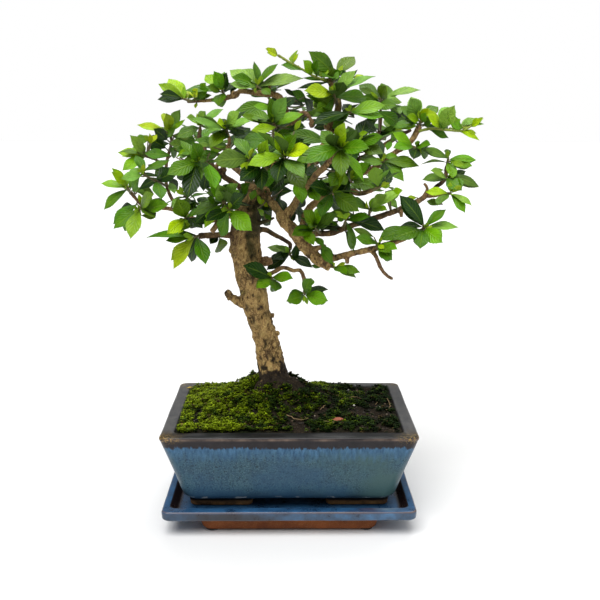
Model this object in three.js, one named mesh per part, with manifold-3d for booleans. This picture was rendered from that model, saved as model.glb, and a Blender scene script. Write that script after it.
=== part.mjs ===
// A fukien tea bonsai in a glazed pot on its drip tray. Millimetres, +Z up, the front looks along -Y.
// The origin lies on the surface the pads stand on, under the middle of the pot.
import * as THREE from 'three';
import { mergeVertices } from 'three/addons/utils/BufferGeometryUtils.js';
import Module from 'manifold-3d';

const wasm = await Module();
wasm.setup();

// Gap between neighbouring pieces, and between a shoot and the wood that it grows from
const gap = 0.3;
const woodGap = 0.35;

// Pads under the tray's foot
const padRadius = 4.4;
const padThick = 1.2;
const padPlace = [47.5, 43.8];

// Each profile below goes round a [half length, half depth]. Its points are [inset, corner radius, height].

// Tray, and the hollow foot under it
const trayHalf = [77.6, 57.6];
const trayFootZ = padThick + gap;
const trayUnderZ = 10;
const trayFloorZ = 11.6;
const trayTopZ = 16.4;
const trayRim = 7.2;
const trayDraft = 3;
const traySide = [
  [4.6, 7, trayUnderZ], [1.6, 7, trayUnderZ + 1], [0.2, 6.2, trayUnderZ + 2.6], [0, 5.5, trayTopZ - 0.8],
  [0.8, 5, trayTopZ], [trayRim, 4, trayTopZ - 0.4], [trayRim + trayDraft, 4, trayFloorZ],
];
const trayFootHalf = [53, 48.6];
const trayFootSide = [
  [0, 5.3, trayFootZ], [-0.8, 5.7, trayFootZ + 0.8], [-2.4, 6.5, trayUnderZ - 2.4], [-3.4, 7, trayUnderZ],
];
const trayFootWall = 10;
const recessTopZ = 6.8;
const recessSide = [[trayFootWall, 3, trayFootZ - 1], [trayFootWall, 3, recessTopZ]];

// Pot: walls that slope out from the base to the rim's edge, where it is widest
const potFootZ = trayFloorZ + gap;
const potUnderZ = 19;
const potFloorZ = 25.5;
const potEdgeZ = 61.6;
const potTopZ = 63.8;
const potHalf = [78, 56.8];
const potBaseHalf = [66.2, 45.7];
const potBaseSide = [[5, 8, potUnderZ], [1.4, 9, potUnderZ + 0.6], [0, 9, potUnderZ + 2.5]];
const potRim = 8;
const potRimSide = [
  [0.6, 4.6, potEdgeZ - 1.2], [0, 4.6, potEdgeZ], [0.3, 4.4, potEdgeZ + 1.2], [1.4, 4, potTopZ - 0.3],
  [potRim, 3, potTopZ],
];
const potWall = 7;
const insideTopZ = 62;
const insideCorner = 3.5;
const potFootHalf = [20, 7];
const potFootPlace = [42.5, 31];
const potFootSide = [[1.4, 3, potFootZ], [0.6, 3.4, potFootZ + 0.8], [-0.5, 4, potUnderZ + 2]];
const drainRadius = 5;
const drainX = 30;

// Soil, mounded round the trunk
const soilEdgeZ = 62.6;
const soilInset = 1.6;
const moundRise = 23.7;
const moundSpread = [25, 19];
const moundX = -10.5;
const moundRings = 7;
const moundRounding = 24;
const soilLump = 1.6;
const stepsPerSoilCorner = 3;

// Plastic net strip that keeps the soil out of the drain holes
const netSize = [88, 20, 0.9];

// The tree was measured on the upright plane through the trunk, as seen from the eye below.
// Each place in the lists is [x, z, y]: x and z on that plane, and y the true depth.
const eye = new THREE.Vector3(0, -563, 251);
const seed = 4207;

// Leaves: a blade's stations are [share of its length, share of its width]
const bladeThick = 0.7;
const bladeNarrow = [0.36, 0.74];
const bladeWide = [0.72, 0.97];
const leafArch = 0.07;
const leafLengths = [16, 24];
const lengthPerWidth = 2.7;
const leastWidth = 0.44;
const mostLean = 14;
const swings = 13;
const swingStep = 2.3;
const ruledLength = [15, 5];
const ruledWidth = [0.4, 0.08];
const ruledRise = [-0.15, 0.95];
const goldenAngle = 2.39996;

// Roots that spread from the foot of the trunk into the mound. Their course is [share of reach, z, radius].
const rootCount = 6;
const rootReach = [23, 6];
const rootCourse = [[0.1, 85, 7], [0.45, 79, 5], [0.75, 72, 3.4], [1, 66, 2]];

// Trunk: [x, z, y, radius]
const trunk = [
  [-11.5, 58, 0, 12], [-11, 72, 0, 13], [-10.8, 82, 0, 11.6], [-11.3, 90, 0, 9.2], [-13.2, 100, 0, 8.2],
  [-17, 117, 0, 7.6], [-21, 130, 0, 8.2], [-24, 147, 0, 9], [-26, 159, 0, 9.3], [-28, 176, 0, 9.8],
  [-26, 190, 0, 8.6], [-22.5, 203, -1, 5.2],
];

// Limbs: [x, z, y, radius], from the thick end out
const limbs = {
  descending: [[-23, 202, 0, 4.4], [-14.8, 201, -7, 2.5], [-6.2, 191, -14, 2.7], [-4, 187, -16, 3.8],
    [2.5, 180.3, -18, 3.9], [9.7, 170.4, -21, 3.8], [18, 162, -24, 3.7], [22.9, 159.4, -26, 3.5],
    [26.5, 156.8, -27, 3]],
  rising: [[-4, 187, -16, 3.2], [3.8, 197.5, -13, 2.3], [7, 206, -10, 2.2], [14, 222, -2, 2.2],
    [25, 239, 6, 2.4], [26, 245, 8, 2.8], [29, 252, 9, 2.3], [30, 259, 9, 2.3], [24, 273, 8, 1.6]],
  leader: [[-24, 198, 0, 6], [-14, 212, 6, 3.6], [-9, 226, 10, 3], [-8, 237, 11, 2.7],
    [1.2, 247, 9, 2.2], [9.3, 252.7, 6, 1.6], [12.8, 249.4, 4, 1.1], [14, 246.3, 3, 0.9]],
  topLeft: [[-8, 237, 11, 2.4], [-2, 250, 14, 2.2], [-6, 262, 16, 2], [-20.3, 264.6, 18, 1.8],
    [-30, 265.5, 20, 1.7], [-33.6, 263.3, 21, 2.1], [-41, 261, 22, 1.4], [-62.3, 259.2, 26, 1.1]],
  topLeftStub: [[-12, 262, 17, 1.3], [-12, 269.5, 18, 1]],
  upperLeft: [[-24, 203, 0, 3.2], [-31.7, 208, -6, 1.9], [-46.3, 218.3, -14, 1.7], [-50, 226, -10, 1.5],
    [-55.5, 237.5, -2, 1.4], [-54.7, 243.4, 1, 1.2]],
  upperLeftSide: [[-46.3, 218.3, -14, 1.4], [-37, 234.7, -24, 1.2], [-39, 242, -28, 1.1]],
  lowerLeft: [[-20, 202, -2, 3.6], [-24, 202.8, -9, 2.5], [-29.5, 197.8, -14, 2.4],
    [-36.8, 196, -18, 2.3], [-40.6, 191.5, -20, 2.2], [-43, 187.4, -22, 2.1], [-49, 179, -26, 1.7]],
  trunkLeft: [[-29, 176, 0, 3.4], [-37.7, 177, -4, 2], [-45.5, 177.2, -8, 1.8], [-57, 176.8, -14, 1.9]],
  farLeft: [[-43, 187.4, -22, 1.9], [-56, 186, -14, 1.5], [-66, 190.8, -6, 1.4], [-75.5, 193.8, 0, 1.4],
    [-88, 195, 6, 1.3], [-93, 197, 8, 1.3], [-99, 204, 10, 1.2]],
  farLeftRise: [[-66, 190.8, -6, 1.4], [-72.5, 198.5, 6, 1.2], [-76.5, 209, 16, 1.2],
    [-76, 222, 24, 1.1], [-72, 236.4, 30, 1]],
  behind: [[-25, 178, 0, 3], [-16.4, 180.8, 6, 1.7], [-9.5, 177.5, 12, 1.6], [0.7, 171, 16, 1.4],
    [0, 167.5, 17, 1.2]],
  bridge: [[-22, 184, -3, 1.6], [-14.5, 186, -9, 1.1], [-9.5, 188.3, -12, 0.9]],
  lowTwig: [[-20, 151, -3, 2.2], [-12, 152.6, -9, 1.5], [-3.7, 156.5, -14, 1.4], [3, 154.4, -18, 1.3],
    [7, 154.8, -20, 1.3], [9.8, 147, -22, 1.3], [9.5, 142.5, -22, 1.1]],
  cutStub: [[-24, 131.5, -1, 3.8], [-32.5, 134.5, -2, 3.1], [-39.7, 139.5, -3, 2]],
  upperRight: [[6, 175, -19.5, 3], [8, 181.5, -17, 2.4], [11.5, 192.6, -13, 2.3], [20, 200.5, -10, 2.2],
    [29.8, 206, -9, 2.1], [41.7, 214.7, -6, 2], [54.5, 220.2, -2, 1.9], [64, 227.6, 0, 1.8],
    [75.5, 236, 3, 1.7], [80.3, 245, 5, 1.9]],
  secondRight: [[36, 210.5, -8, 1.9], [40.5, 223, 4, 1.8], [49.6, 227.4, 12, 1.6],
    [58.7, 233.2, 18, 1.6], [68.6, 239.2, 22, 1.4], [75, 242.6, 24, 1.1]],
  darkStem: [[47.5, 227, 10, 1.5], [52, 234, 18, 1.3], [55.8, 243.7, 26, 1.2], [56, 258, 30, 1.1]],
  lowerRight: [[9, 171, -20.5, 3], [14, 177.5, -20, 2.2], [26.3, 178.5, -24, 1.9],
    [37.4, 182.6, -27, 1.8], [51.7, 187.3, -28, 1.8], [70, 193.8, -24, 1.7], [83.3, 200.3, -19, 1.6],
    [91, 207, -14, 1.4], [97, 212.5, -10, 1.3], [97.9, 221, -8, 1.3]],
  lowerRightSide: [[87, 201.8, -17.5, 1.3], [95.3, 203, -22, 1.1], [98.5, 203.4, -24, 1.1]],
  deadStub: [[70, 193.8, -24, 1.4], [70.5, 188.6, -26, 1]],
  hookStub: [[84, 201, -19, 1.3], [86.4, 206.6, -22, 1], [84, 209.8, -23, 0.9]],
  bottomRight: [[19, 162, -24.5, 3.4], [28.4, 162.7, -30, 2.1], [40.4, 165.7, -34, 1.9],
    [50.8, 168, -38, 1.9], [60, 170.8, -39, 1.8], [70, 174, -38, 1.6], [84, 180.6, -34, 1.4]],
  shortStub: [[36.7, 164, -32.5, 1.5], [36.7, 159, -34, 1.2]],
  innerStub: [[14, 168, -22.5, 2], [23, 170.4, -26, 1.2]],
  bareTwig: [[50.8, 168, -38, 1.6], [54.2, 164.8, -40, 1.4], [58.2, 156, -43, 1.2],
    [62.6, 151, -45, 1.1], [66, 149.2, -45, 0.9]],
  frontLeft: [[-19, 205, -3, 3.2], [-14, 212, -24, 2], [-8, 219, -44, 1.6], [-4, 223.5, -55, 1.2]],
  frontRight: [[4, 199, -13, 2.2], [14, 212, -32, 1.9], [24, 222, -48, 1.6], [30.5, 228.5, -57, 1.2]],
  frontFarLeft: [[-46.3, 218.3, -14, 1.5], [-50, 222, -30, 1.3], [-54, 222, -40, 1.1]],
  frontFarRight: [[31, 206.5, -8.5, 1.8], [44, 203.5, -34, 1.5], [52, 205.5, -50, 1.2]],
  backLeft: [[-21, 204, 2, 3.4], [-28, 214, 26, 2.2], [-40, 224, 46, 1.7], [-46, 229, 54, 1.2]],
  backCentre: [[-9, 226, 10, 2.6], [-4, 236, 30, 1.9], [4, 243, 46, 1.5], [6, 245, 53, 1.2]],
  backRight: [[14, 222, -2, 2.2], [30, 228, 22, 1.8], [44, 233, 40, 1.5], [52, 234.5, 50, 1.2]],
  backLowRight: [[7, 205, -10, 2.1], [18, 205, 14, 1.9], [32, 206, 34, 1.6], [42, 205, 46, 1.2]],
  backLowLeft: [[-27, 180, 3, 3], [-34, 188, 24, 2.1], [-46, 192, 40, 1.7], [-52, 194, 49, 1.2]],
};

// Sprays. stem is the green shoot from the wood outwards. A leaf is [stem place that it grows from,
// tip x, tip z, width as seen]. ruled gives further leaves, set by the rule in ruledLeaf.
const sprays = {
  apexShoot: { stem: [[24, 271, 8.2], [14.6, 274.7, 4], [8, 278.5, 2], [1.3, 282, 0], [-6.8, 286.8, -2]],
    leaves: [[4, -14.3, 290.6, 5.5], [3, 4.3, 289.6, 4], [2, -5, 281.2, 4], [1, 17, 284, 5]] },
  apexCrown: { stem: [[25, 269, 8.4], [28.5, 275, 14]],
    leaves: [[1, 11.7, 289.2, 10], [1, 11, 280.5, 8], [1, 39.5, 286.2, 9], [1, 31.5, 277.5, 5]], ruled: 2 },
  apexFront: { stem: [[29.6, 257, 8.8], [27, 264, -3]],
    leaves: [[1, 9.2, 266, 8], [1, 40.5, 278, 7], [1, 52.5, 274.7, 4], [1, 14.5, 256.5, 8],
      [1, 22, 247, 5], [1, 47.5, 262, 8]] },
  rightCrown: { stem: [[56, 257, 30], [56, 262, 31]],
    leaves: [[1, 60.5, 269, 10], [1, 42.5, 269.5, 8], [1, 80.2, 266.6, 4.5], [1, 69, 259.2, 5],
      [1, 45, 259, 6]], ruled: 1 },
  midCrown: { stem: [[26.6, 246, 8], [37.8, 253.5, -6]],
    leaves: [[1, 26.5, 243, 6], [1, 57.8, 250.5, 7], [1, 14.5, 245.6, 7], [1, 59, 257.5, 8]] },
  topCrown: { stem: [[-20.3, 264.6, 18], [-19.4, 269, 15]],
    leaves: [[1, -21.4, 283.2, 4.5], [1, -7, 281.8, 4.5], [1, 8.5, 273.3, 6.5], [1, -36.3, 270, 6],
      [1, -36.2, 278, 9]] },
  leftCrown: { stem: [[-39, 261.6, 21.7], [-41, 266, 18]],
    leaves: [[1, -51, 275.2, 8], [1, -39.5, 277, 6], [1, -63.5, 266, 4.5], [1, -43.5, 256.6, 6.5],
      [1, -33, 270.5, 5]] },
  farCrown: { stem: [[-60, 259.3, 25.5], [-64.2, 260.8, 25]],
    leaves: [[1, -79.8, 269.8, 7], [1, -80.5, 260.5, 6], [1, -57.5, 267.5, 5], [1, -48.8, 268.4, 6],
      [1, -73, 272.5, 8]] },
  highLeft: { stem: [[-55, 241, 0.5], [-54.7, 246, 1]],
    leaves: [[1, -63, 249.8, 4], [1, -51.8, 253.6, 4.5], [1, -40.5, 254.8, 4.5], [1, -41, 241, 4],
      [1, -69.5, 237.5, 7]] },
  innerHighLeft: { stem: [[-38.6, 240, -27], [-39, 244.5, -32]],
    leaves: [[1, -44.5, 246.6, 4.5], [1, -30.5, 253.3, 6.5], [1, -24, 247.5, 4], [1, -27, 240.5, 6],
      [1, -49, 231, 7]] },
  outerHighLeft: { stem: [[-72.3, 234, 29.3], [-73.6, 241, 31]],
    leaves: [[1, -77, 252.5, 7], [1, -66.8, 254.5, 6], [1, -93.5, 245.3, 5], [1, -57.5, 235.5, 9],
      [1, -86, 234, 7]], ruled: 1 },
  outerLeft: { stem: [[-76, 221, 23.6], [-84, 224.5, 19], [-90, 226.5, 15]],
    leaves: [[2, -103.5, 217.5, 7], [2, -106, 228.4, 6], [2, -98, 239, 7], [1, -84, 238.5, 8],
      [1, -79, 212.5, 8]], ruled: 1 },
  midLeft: { stem: [[-76.5, 208, 15], [-84, 211.5, 0], [-90.5, 214.8, -8]],
    leaves: [[2, -104.5, 212.3, 6], [2, -95, 227, 6], [1, -74, 219.5, 7], [1, -80, 199.5, 8]] },
  leftTip: { stem: [[-98.4, 203, 9.8], [-101, 207, 9]],
    leaves: [[1, -110, 219, 5], [1, -117, 209.5, 5], [1, -116, 193, 6], [1, -93, 217.5, 6]], ruled: 1 },
  lowLeft: { stem: [[-91, 196, 7], [-94, 193.5, -3]],
    leaves: [[1, -110.5, 181, 7], [1, -100, 174.8, 9], [1, -75.5, 196.5, 7.5], [1, -84, 188, 5],
      [1, -84.5, 203, 7]] },
  hangingLeft: { stem: [[-51, 222, -33], [-53, 224, -43], [-58, 222, -50]],
    leaves: [[1, -62.5, 205.5, 9], [2, -63.6, 200, 10], [2, -76, 215, 9], [1, -46, 206, 8],
      [2, -60, 235, 8]] },
  underLeft: { stem: [[-63, 189.3, -8], [-65.6, 187.5, -16]],
    leaves: [[1, -77, 178, 8], [1, -50, 195.5, 5], [1, -70, 200.5, 11], [1, -54.5, 181.5, 6],
      [1, -58.5, 182, 6]] },
  bottomLeft: { stem: [[-56, 176.8, -13.8], [-60.2, 176, -16]],
    leaves: [[1, -78, 173.5, 6], [1, -90, 175.6, 4.5], [1, -73.5, 155.5, 8], [1, -62, 160, 7],
      [1, -53, 158.5, 9], [1, -66, 166, 7]] },
  innerLeft: { stem: [[-38, 195, -18.6], [-41.5, 198, -26]],
    leaves: [[1, -60.5, 190, 6], [1, -53.5, 181.5, 6], [1, -50, 210, 7], [1, -32, 209.5, 7],
      [1, -41, 182, 8]] },
  frontLow: { stem: [[-33.4, 196.4, -16], [-37.8, 193, -34]],
    leaves: [[1, -23.6, 180, 11], [1, -43, 176, 8], [1, -52.5, 186, 7], [1, -28, 203, 8]] },
  frontLeftFan: { stem: [[-10.5, 216, -38], [-18, 221.5, -50], [-24.5, 225, -58]],
    leaves: [[2, -47, 223.3, 10], [2, -33.5, 237.5, 7], [1, -31, 211, 8], [1, -13.5, 236.5, 7],
      [1, -17, 205.5, 8]] },
  frontFan: { stem: [[-5, 222.6, -53], [-3.4, 227, -62]],
    leaves: [[1, -25.8, 220.8, 8], [1, 12.6, 231.8, 7], [1, 4.5, 240, 6], [1, -9, 241.5, 6],
      [1, -8, 210, 9], [1, 9, 213, 8]] },
  centreHigh: { stem: [[-8.4, 236, 11], [-10, 239.5, -8], [-9.4, 247.2, -16]],
    leaves: [[1, -29, 236, 7], [2, -25, 252.5, 7], [2, -1.8, 262.4, 9], [1, 10.5, 240, 9],
      [2, 8.5, 252, 6], [2, -12, 262, 7]] },
  frontRightFan: { stem: [[29.5, 227.6, -56], [31.8, 232, -63]],
    leaves: [[1, 10, 223.5, 9], [1, 32.5, 214, 10], [1, 46.5, 210.5, 4.5], [1, 49.5, 231.5, 8],
      [1, 34, 247, 7], [1, 19.4, 242, 8]] },
  rightInnerHigh: { stem: [[40.2, 222, 3.5], [42.5, 234, -12]],
    leaves: [[1, 28.5, 243.5, 6], [1, 58, 238.6, 7], [1, 47.5, 249, 9], [1, 35.5, 221, 8],
      [1, 58.5, 228, 7]] },
  darkCentre: { stem: [[7, 206, -10], [4, 212.5, -22]],
    leaves: [[1, 8, 197, 8], [1, -14, 207.5, 9], [1, 21, 206, 8], [1, -7, 225, 8], [1, 12, 226.5, 8]] },
  rightInner: { stem: [[36.2, 210.2, -7.5], [38, 212, -26]],
    leaves: [[1, 57.5, 205.3, 8], [1, 50, 222, 7], [1, 30, 198.5, 8], [1, 22.5, 215, 8]] },
  rightMid: { stem: [[56, 221.3, -1.6], [58.6, 223.5, -12]],
    leaves: [[1, 80.8, 220.4, 7], [1, 60, 206.5, 8], [1, 43, 224.6, 5], [1, 71.5, 211, 7],
      [1, 53, 238, 7]] },
  rightTop: { stem: [[80.3, 244.5, 5], [80.8, 248.2, 4]],
    leaves: [[1, 74.5, 262.5, 9], [1, 91.5, 256, 6], [1, 68, 257, 6], [1, 86, 255.5, 5], [1, 64, 244, 5],
      [1, 98.5, 237.7, 5]] },
  rightShoot: { stem: [[78.6, 241.4, 4.3], [87, 243.4, 0], [93.3, 243, -1], [100, 242.3, 0],
    [107, 242.4, 1], [113, 245.5, 2]],
  leaves: [[2, 84.5, 252, 5], [2, 101.5, 257.4, 10], [4, 97.5, 249.5, 6], [4, 115, 249.8, 5.5],
    [5, 118.8, 249.9, 4.5], [5, 119.3, 246.5, 4], [4, 117.6, 236.3, 3.5]] },
  rightHang: { stem: [[72.5, 233.6, 2], [79, 231.5, -6]],
    leaves: [[1, 77, 224.6, 7], [1, 86.5, 228, 7], [1, 87.5, 233.5, 4], [1, 64.5, 231.5, 5], [1, 63.5, 241, 6]] },
  rightSide: { stem: [[97.9, 219.6, -8.2], [98.6, 225, -9]],
    leaves: [[1, 82.5, 230.4, 5.5], [1, 116, 224.5, 4.5], [1, 114, 220.5, 6], [1, 102.5, 213.5, 6]],
    ruled: 1 },
  rightTip: { stem: [[96.4, 212, -10.3], [99.6, 212.6, -16]],
    leaves: [[1, 110, 217.5, 5], [1, 118.5, 207.5, 6], [1, 88, 217.8, 4], [1, 83, 212, 5],
      [1, 108, 205.5, 9]] },
  rightLow: { stem: [[97.6, 203.2, -23.6], [101, 203.6, -28]],
    leaves: [[1, 110.5, 191.5, 5.5], [1, 114.5, 196, 3.5], [1, 85, 204.5, 5], [1, 93, 196, 5]] },
  midRight: { stem: [[50, 186.9, -28], [50.4, 193.6, -34]],
    leaves: [[1, 61, 202.8, 6], [1, 37.5, 200, 5], [1, 61.5, 193, 3.5], [1, 71, 205.3, 5.5]] },
  innerRight: { stem: [[24.3, 203, -9.6], [27, 204, -38]],
    leaves: [[1, 43.8, 192.2, 10], [1, 19.6, 188.5, 8], [1, 12.5, 208, 8], [1, 36, 219, 7]] },
  innerLow: { stem: [[20, 178.1, -22], [16, 182, -32]],
    leaves: [[1, 20.4, 195.5, 5], [1, 8.5, 193, 7], [1, 1.5, 177, 7], [1, 30.5, 190.5, 7]] },
  midLow: { stem: [[34, 181.6, -26], [35.6, 187, -36]],
    leaves: [[1, 60, 180, 7], [1, 40.5, 167, 5], [1, 50.5, 189, 5]] },
  lowRightTip: { stem: [[82, 179.8, -34.6], [85.4, 182, -37]],
    leaves: [[1, 69, 202.4, 10], [1, 98.5, 193.5, 5.5], [1, 106.8, 182.3, 5], [1, 97, 172.5, 9],
      [1, 82.8, 168.6, 9.5], [1, 65, 174.5, 9]] },
  lowRight: { stem: [[54, 168.6, -38.4], [56.5, 171.5, -43]],
    leaves: [[1, 41.5, 175.8, 5.5], [1, 65.3, 161.2, 8], [1, 68.5, 168.3, 5], [1, 64, 166, 6]] },
  lowBranchEnd: { stem: [[25.6, 157.6, -26.8], [28.8, 156.6, -31]],
    leaves: [[1, 45, 153.3, 5.5], [1, 42.5, 150, 4.5], [1, 20, 171, 6], [1, 36.5, 152.3, 5]] },
  dropTwig: { stem: [[9.5, 141.8, -22], [9.8, 138.6, -22]],
    leaves: [[1, -2, 134.6, 8], [1, 24.8, 134.8, 9], [1, 14, 149.7, 7], [1, 24.8, 142.3, 4.5]] },
  overTrunk: { stem: [[-13, 152, -8.5], [-11, 149.6, -19]],
    leaves: [[1, -29.5, 157.7, 9], [1, -21, 143, 6.5], [1, -8.7, 141, 7], [1, 2.3, 149.4, 6.5]] },
  underBranch: { stem: [[0, 166.6, 16.8], [0.3, 164.6, 14.6]],
    leaves: [[1, -14.4, 155, 7], [1, 14.8, 156.4, 6], [1, -14, 169.6, 5], [1, 12, 172, 6]] },
  backLeft: { stem: [[-44, 227, 50], [-50, 233, 58], [-57, 236, 62]], leaves: [], ruled: 8 },
  backCentre: { stem: [[5, 244, 50], [8, 249, 59], [16, 255, 62]], leaves: [], ruled: 8 },
  backRight: { stem: [[50, 234, 48], [57, 237, 56], [65, 242, 58]], leaves: [], ruled: 8 },
  backLowRight: { stem: [[40, 205, 44], [47, 204, 54], [58, 208, 60]], leaves: [], ruled: 8 },
  backLowLeft: { stem: [[-50, 193.5, 47], [-57, 196, 55], [-66, 202, 57]], leaves: [], ruled: 8 },
  backHigh: { stem: [[-13.5, 263.2, 17], [-15, 266, 31], [-14, 264, 43]], leaves: [], ruled: 7 },
  frontFarRight: { stem: [[50, 205, -47], [56.8, 207.5, -56]], leaves: [], ruled: 7 },
};

// A repeatable number from 0 to 1 for a set of whole numbers
function chance(...keys) {
  let mixed = seed;
  for (const key of keys) {
    mixed = Math.imul(mixed ^ (key + 0x9e3779b9), 0x85ebca6b);
    mixed ^= mixed >>> 13;
    mixed = Math.imul(mixed, 0xc2b2ae35);
    mixed ^= mixed >>> 16;
  }
  return (mixed >>> 0) / 4294967296;
}

// The point at depth y on the line from the eye through (x, z) of the trunk's plane
function alongSight(x, z, y) {
  const stretch = (y - eye.y) / -eye.y;
  return new THREE.Vector3(eye.x + (x - eye.x) * stretch, y, eye.z + (z - eye.z) * stretch);
}

// A closed body from points and triangles, with its faces turned outwards
function closedBody(points, triangles) {
  let volume = 0;
  for (const [a, b, c] of triangles) {
    volume += points[a].dot(points[b].clone().cross(points[c]));
  }
  const outward = volume < 0 ? triangles.map(([a, b, c]) => [a, c, b]) : triangles;
  const geometry = new THREE.BufferGeometry().setFromPoints(points);
  geometry.setIndex(outward.flat());
  return geometry;
}

// A skin over rings with the same number of points, closed flat at both ends
function loft(rings) {
  const count = rings[0].length;
  const triangles = [];
  for (let row = 0; row + 1 < rings.length; row += 1) {
    for (let i = 0; i < count; i += 1) {
      const a = row * count + i;
      const b = row * count + (i + 1) % count;
      triangles.push([a, b, b + count], [a, b + count, a + count]);
    }
  }
  const last = (rings.length - 1) * count;
  for (let i = 1; i + 1 < count; i += 1) {
    triangles.push([0, i + 1, i], [last, last + i, last + i + 1]);
  }
  return closedBody(rings.flat(), triangles);
}

// A rectangle with round corners, lying level
function roundedRing(halfX, halfY, radius, z, stepsPerCorner = 3) {
  const ring = [];
  for (let corner = 0; corner < 4; corner += 1) {
    const signX = corner === 0 || corner === 3 ? 1 : -1;
    const signY = corner < 2 ? 1 : -1;
    for (let step = 0; step <= stepsPerCorner; step += 1) {
      const angle = (corner + step / stepsPerCorner) * Math.PI / 2;
      ring.push(new THREE.Vector3(signX * (halfX - radius) + radius * Math.cos(angle),
        signY * (halfY - radius) + radius * Math.sin(angle), z));
    }
  }
  return ring;
}

function solidFrom(geometry) {
  const bare = geometry.clone();
  bare.deleteAttribute('normal');
  bare.deleteAttribute('uv');
  const merged = mergeVertices(bare, 1e-4);
  return new wasm.Manifold(new wasm.Mesh({
    numProp: 3,
    vertProperties: new Float32Array(merged.attributes.position.array),
    triVerts: new Uint32Array(merged.index.array),
  }));
}

function geometryFrom(solid) {
  const mesh = solid.getMesh();
  const geometry = new THREE.BufferGeometry();
  geometry.setAttribute('position', new THREE.BufferAttribute(mesh.vertProperties, 3));
  geometry.setIndex(new THREE.BufferAttribute(mesh.triVerts, 1));
  geometry.computeVertexNormals();
  return geometry;
}

function joined(solids) {
  return solids.reduce((whole, solid) => whole.add(solid));
}

// The largest of a solid's bodies: scraps that a cut leaves loose are dropped
function mainBody(solid) {
  const bodies = solid.decompose();
  return bodies.reduce((best, body) => (body.volume() > best.volume() ? body : best));
}

function material(color, roughness) {
  return new THREE.MeshStandardMaterial({ color, roughness, metalness: 0 });
}

const materials = {
  rubber: material(0x1c1c1c, 0.8),
  trayGlaze: material(0x2b5573, 0.3),
  potGlaze: material(0x3f6079, 0.3),
  plastic: material(0x20241f, 0.6),
  soil: material(0x3c4a1c, 1),
  bark: material(0x8d7455, 0.9),
  leaf: material(0x3f8228, 0.45),
};

const bonsai = new THREE.Group();

function place(name, geometry, finish) {
  const mesh = new THREE.Mesh(geometry, finish);
  mesh.name = name;
  bonsai.add(mesh);
  return mesh;
}

// The rings of a profile round a half length and half depth
function ringsOf([halfX, halfY], profile, stepsPerCorner) {
  return profile.map(([inset, radius, z]) => roundedRing(halfX - inset, halfY - inset, radius, z,
    stepsPerCorner));
}

// Every mirrored place of a point about the middle, front left first
function mirrored([x, y]) {
  return [[-x, -y], [x, -y], [-x, y], [x, y]];
}

function makePads() {
  mirrored(padPlace).forEach(([x, y], index) => {
    const disc = new THREE.CylinderGeometry(padRadius, padRadius, padThick, 12);
    const pad = place(`pad_${index + 1}`, disc, materials.rubber);
    pad.rotation.x = Math.PI / 2;
    pad.position.set(x, y, padThick / 2);
  });
}

// The tray: a hollow foot, a shallow dish and a flat rim, fired in one piece
function makeTray() {
  const dish = loft([...ringsOf(trayFootHalf, trayFootSide), ...ringsOf(trayHalf, traySide)]);
  const recess = loft(ringsOf(trayFootHalf, recessSide));
  place('tray', geometryFrom(solidFrom(dish).subtract(solidFrom(recess))), materials.trayGlaze);
}

// Half length and half depth of the pot's inside at height z
function potInside(z) {
  const share = (z - potFloorZ) / (insideTopZ - potFloorZ);
  return [0, 1].map((axis) => THREE.MathUtils.lerp(potBaseHalf[axis] - potWall,
    potHalf[axis] - potRim - 1, share));
}

// The pot: sloping walls that end in a flat rim, four feet and two drain holes
function makePot() {
  const wall = loft([
    ...ringsOf(potBaseHalf, potBaseSide),
    ...ringsOf(potHalf, potRimSide),
    roundedRing(...potInside(insideTopZ), insideCorner, insideTopZ),
    roundedRing(...potInside(potFloorZ), insideCorner, potFloorZ),
  ]);
  const stepsPerFootCorner = 2;
  let pot = solidFrom(wall);
  for (const [x, y] of mirrored(potFootPlace)) {
    const foot = loft(ringsOf(potFootHalf, potFootSide, stepsPerFootCorner));
    foot.translate(x, y, 0);
    pot = pot.add(solidFrom(foot));
  }
  for (const x of [-drainX, drainX]) {
    const drain = new THREE.CylinderGeometry(drainRadius, drainRadius, potFloorZ, 12);
    drain.rotateX(Math.PI / 2);
    drain.translate(x, 0, (potFloorZ + potUnderZ) / 2);
    pot = pot.subtract(solidFrom(drain));
  }
  place('pot', geometryFrom(pot), materials.potGlaze);
}

function makeNet() {
  const [length, width, thick] = netSize;
  const strip = new THREE.BoxGeometry(length, width, thick);
  place('drain_net', strip, materials.plastic).position.z = potFloorZ + gap + thick / 2;
}

// Height of the soil's mounded top
function soilHeight(x, y) {
  const across = (x - moundX) / moundSpread[0];
  const deep = y / moundSpread[1];
  return soilEdgeZ + moundRise * Math.exp(-(across * across + deep * deep) / 2);
}

// The soil fills the pot, and the trunk stands in a hole in it
function makeSoil(trunkClear) {
  const ringAt = (z) => {
    const [halfX, halfY] = potInside(z);
    const inset = gap + 0.1;
    return roundedRing(halfX - inset, halfY - inset, insideCorner, z, stepsPerSoilCorner);
  };
  const rings = [ringAt(potFloorZ + gap), ringAt(soilEdgeZ - 2)];
  const [halfX, halfY] = potInside(soilEdgeZ);
  for (let step = 0; step < moundRings; step += 1) {
    const inward = step / moundRings;
    const ring = roundedRing(halfX - soilInset, halfY - soilInset, insideCorner + moundRounding * inward, 0,
      stepsPerSoilCorner);
    ring.forEach((point, index) => {
      point.set(point.x * (1 - inward) + moundX * inward, point.y * (1 - inward), 0);
      const lump = step > 0 ? soilLump * (chance(900, step, index) - 0.5) : 0;
      point.z = soilHeight(point.x, point.y) + lump;
    });
    rings.push(ring);
  }
  const [length, width, thick] = netSize;
  const netRoom = new THREE.BoxGeometry(length + 2 * gap, width + 2 * gap, thick + 4 * gap);
  netRoom.translate(0, 0, potFloorZ + thick / 2 + gap);
  const soil = solidFrom(loft(rings)).subtract(trunkClear).subtract(solidFrom(netRoom));
  place('soil', geometryFrom(mainBody(soil)), materials.soil);
}

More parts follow.
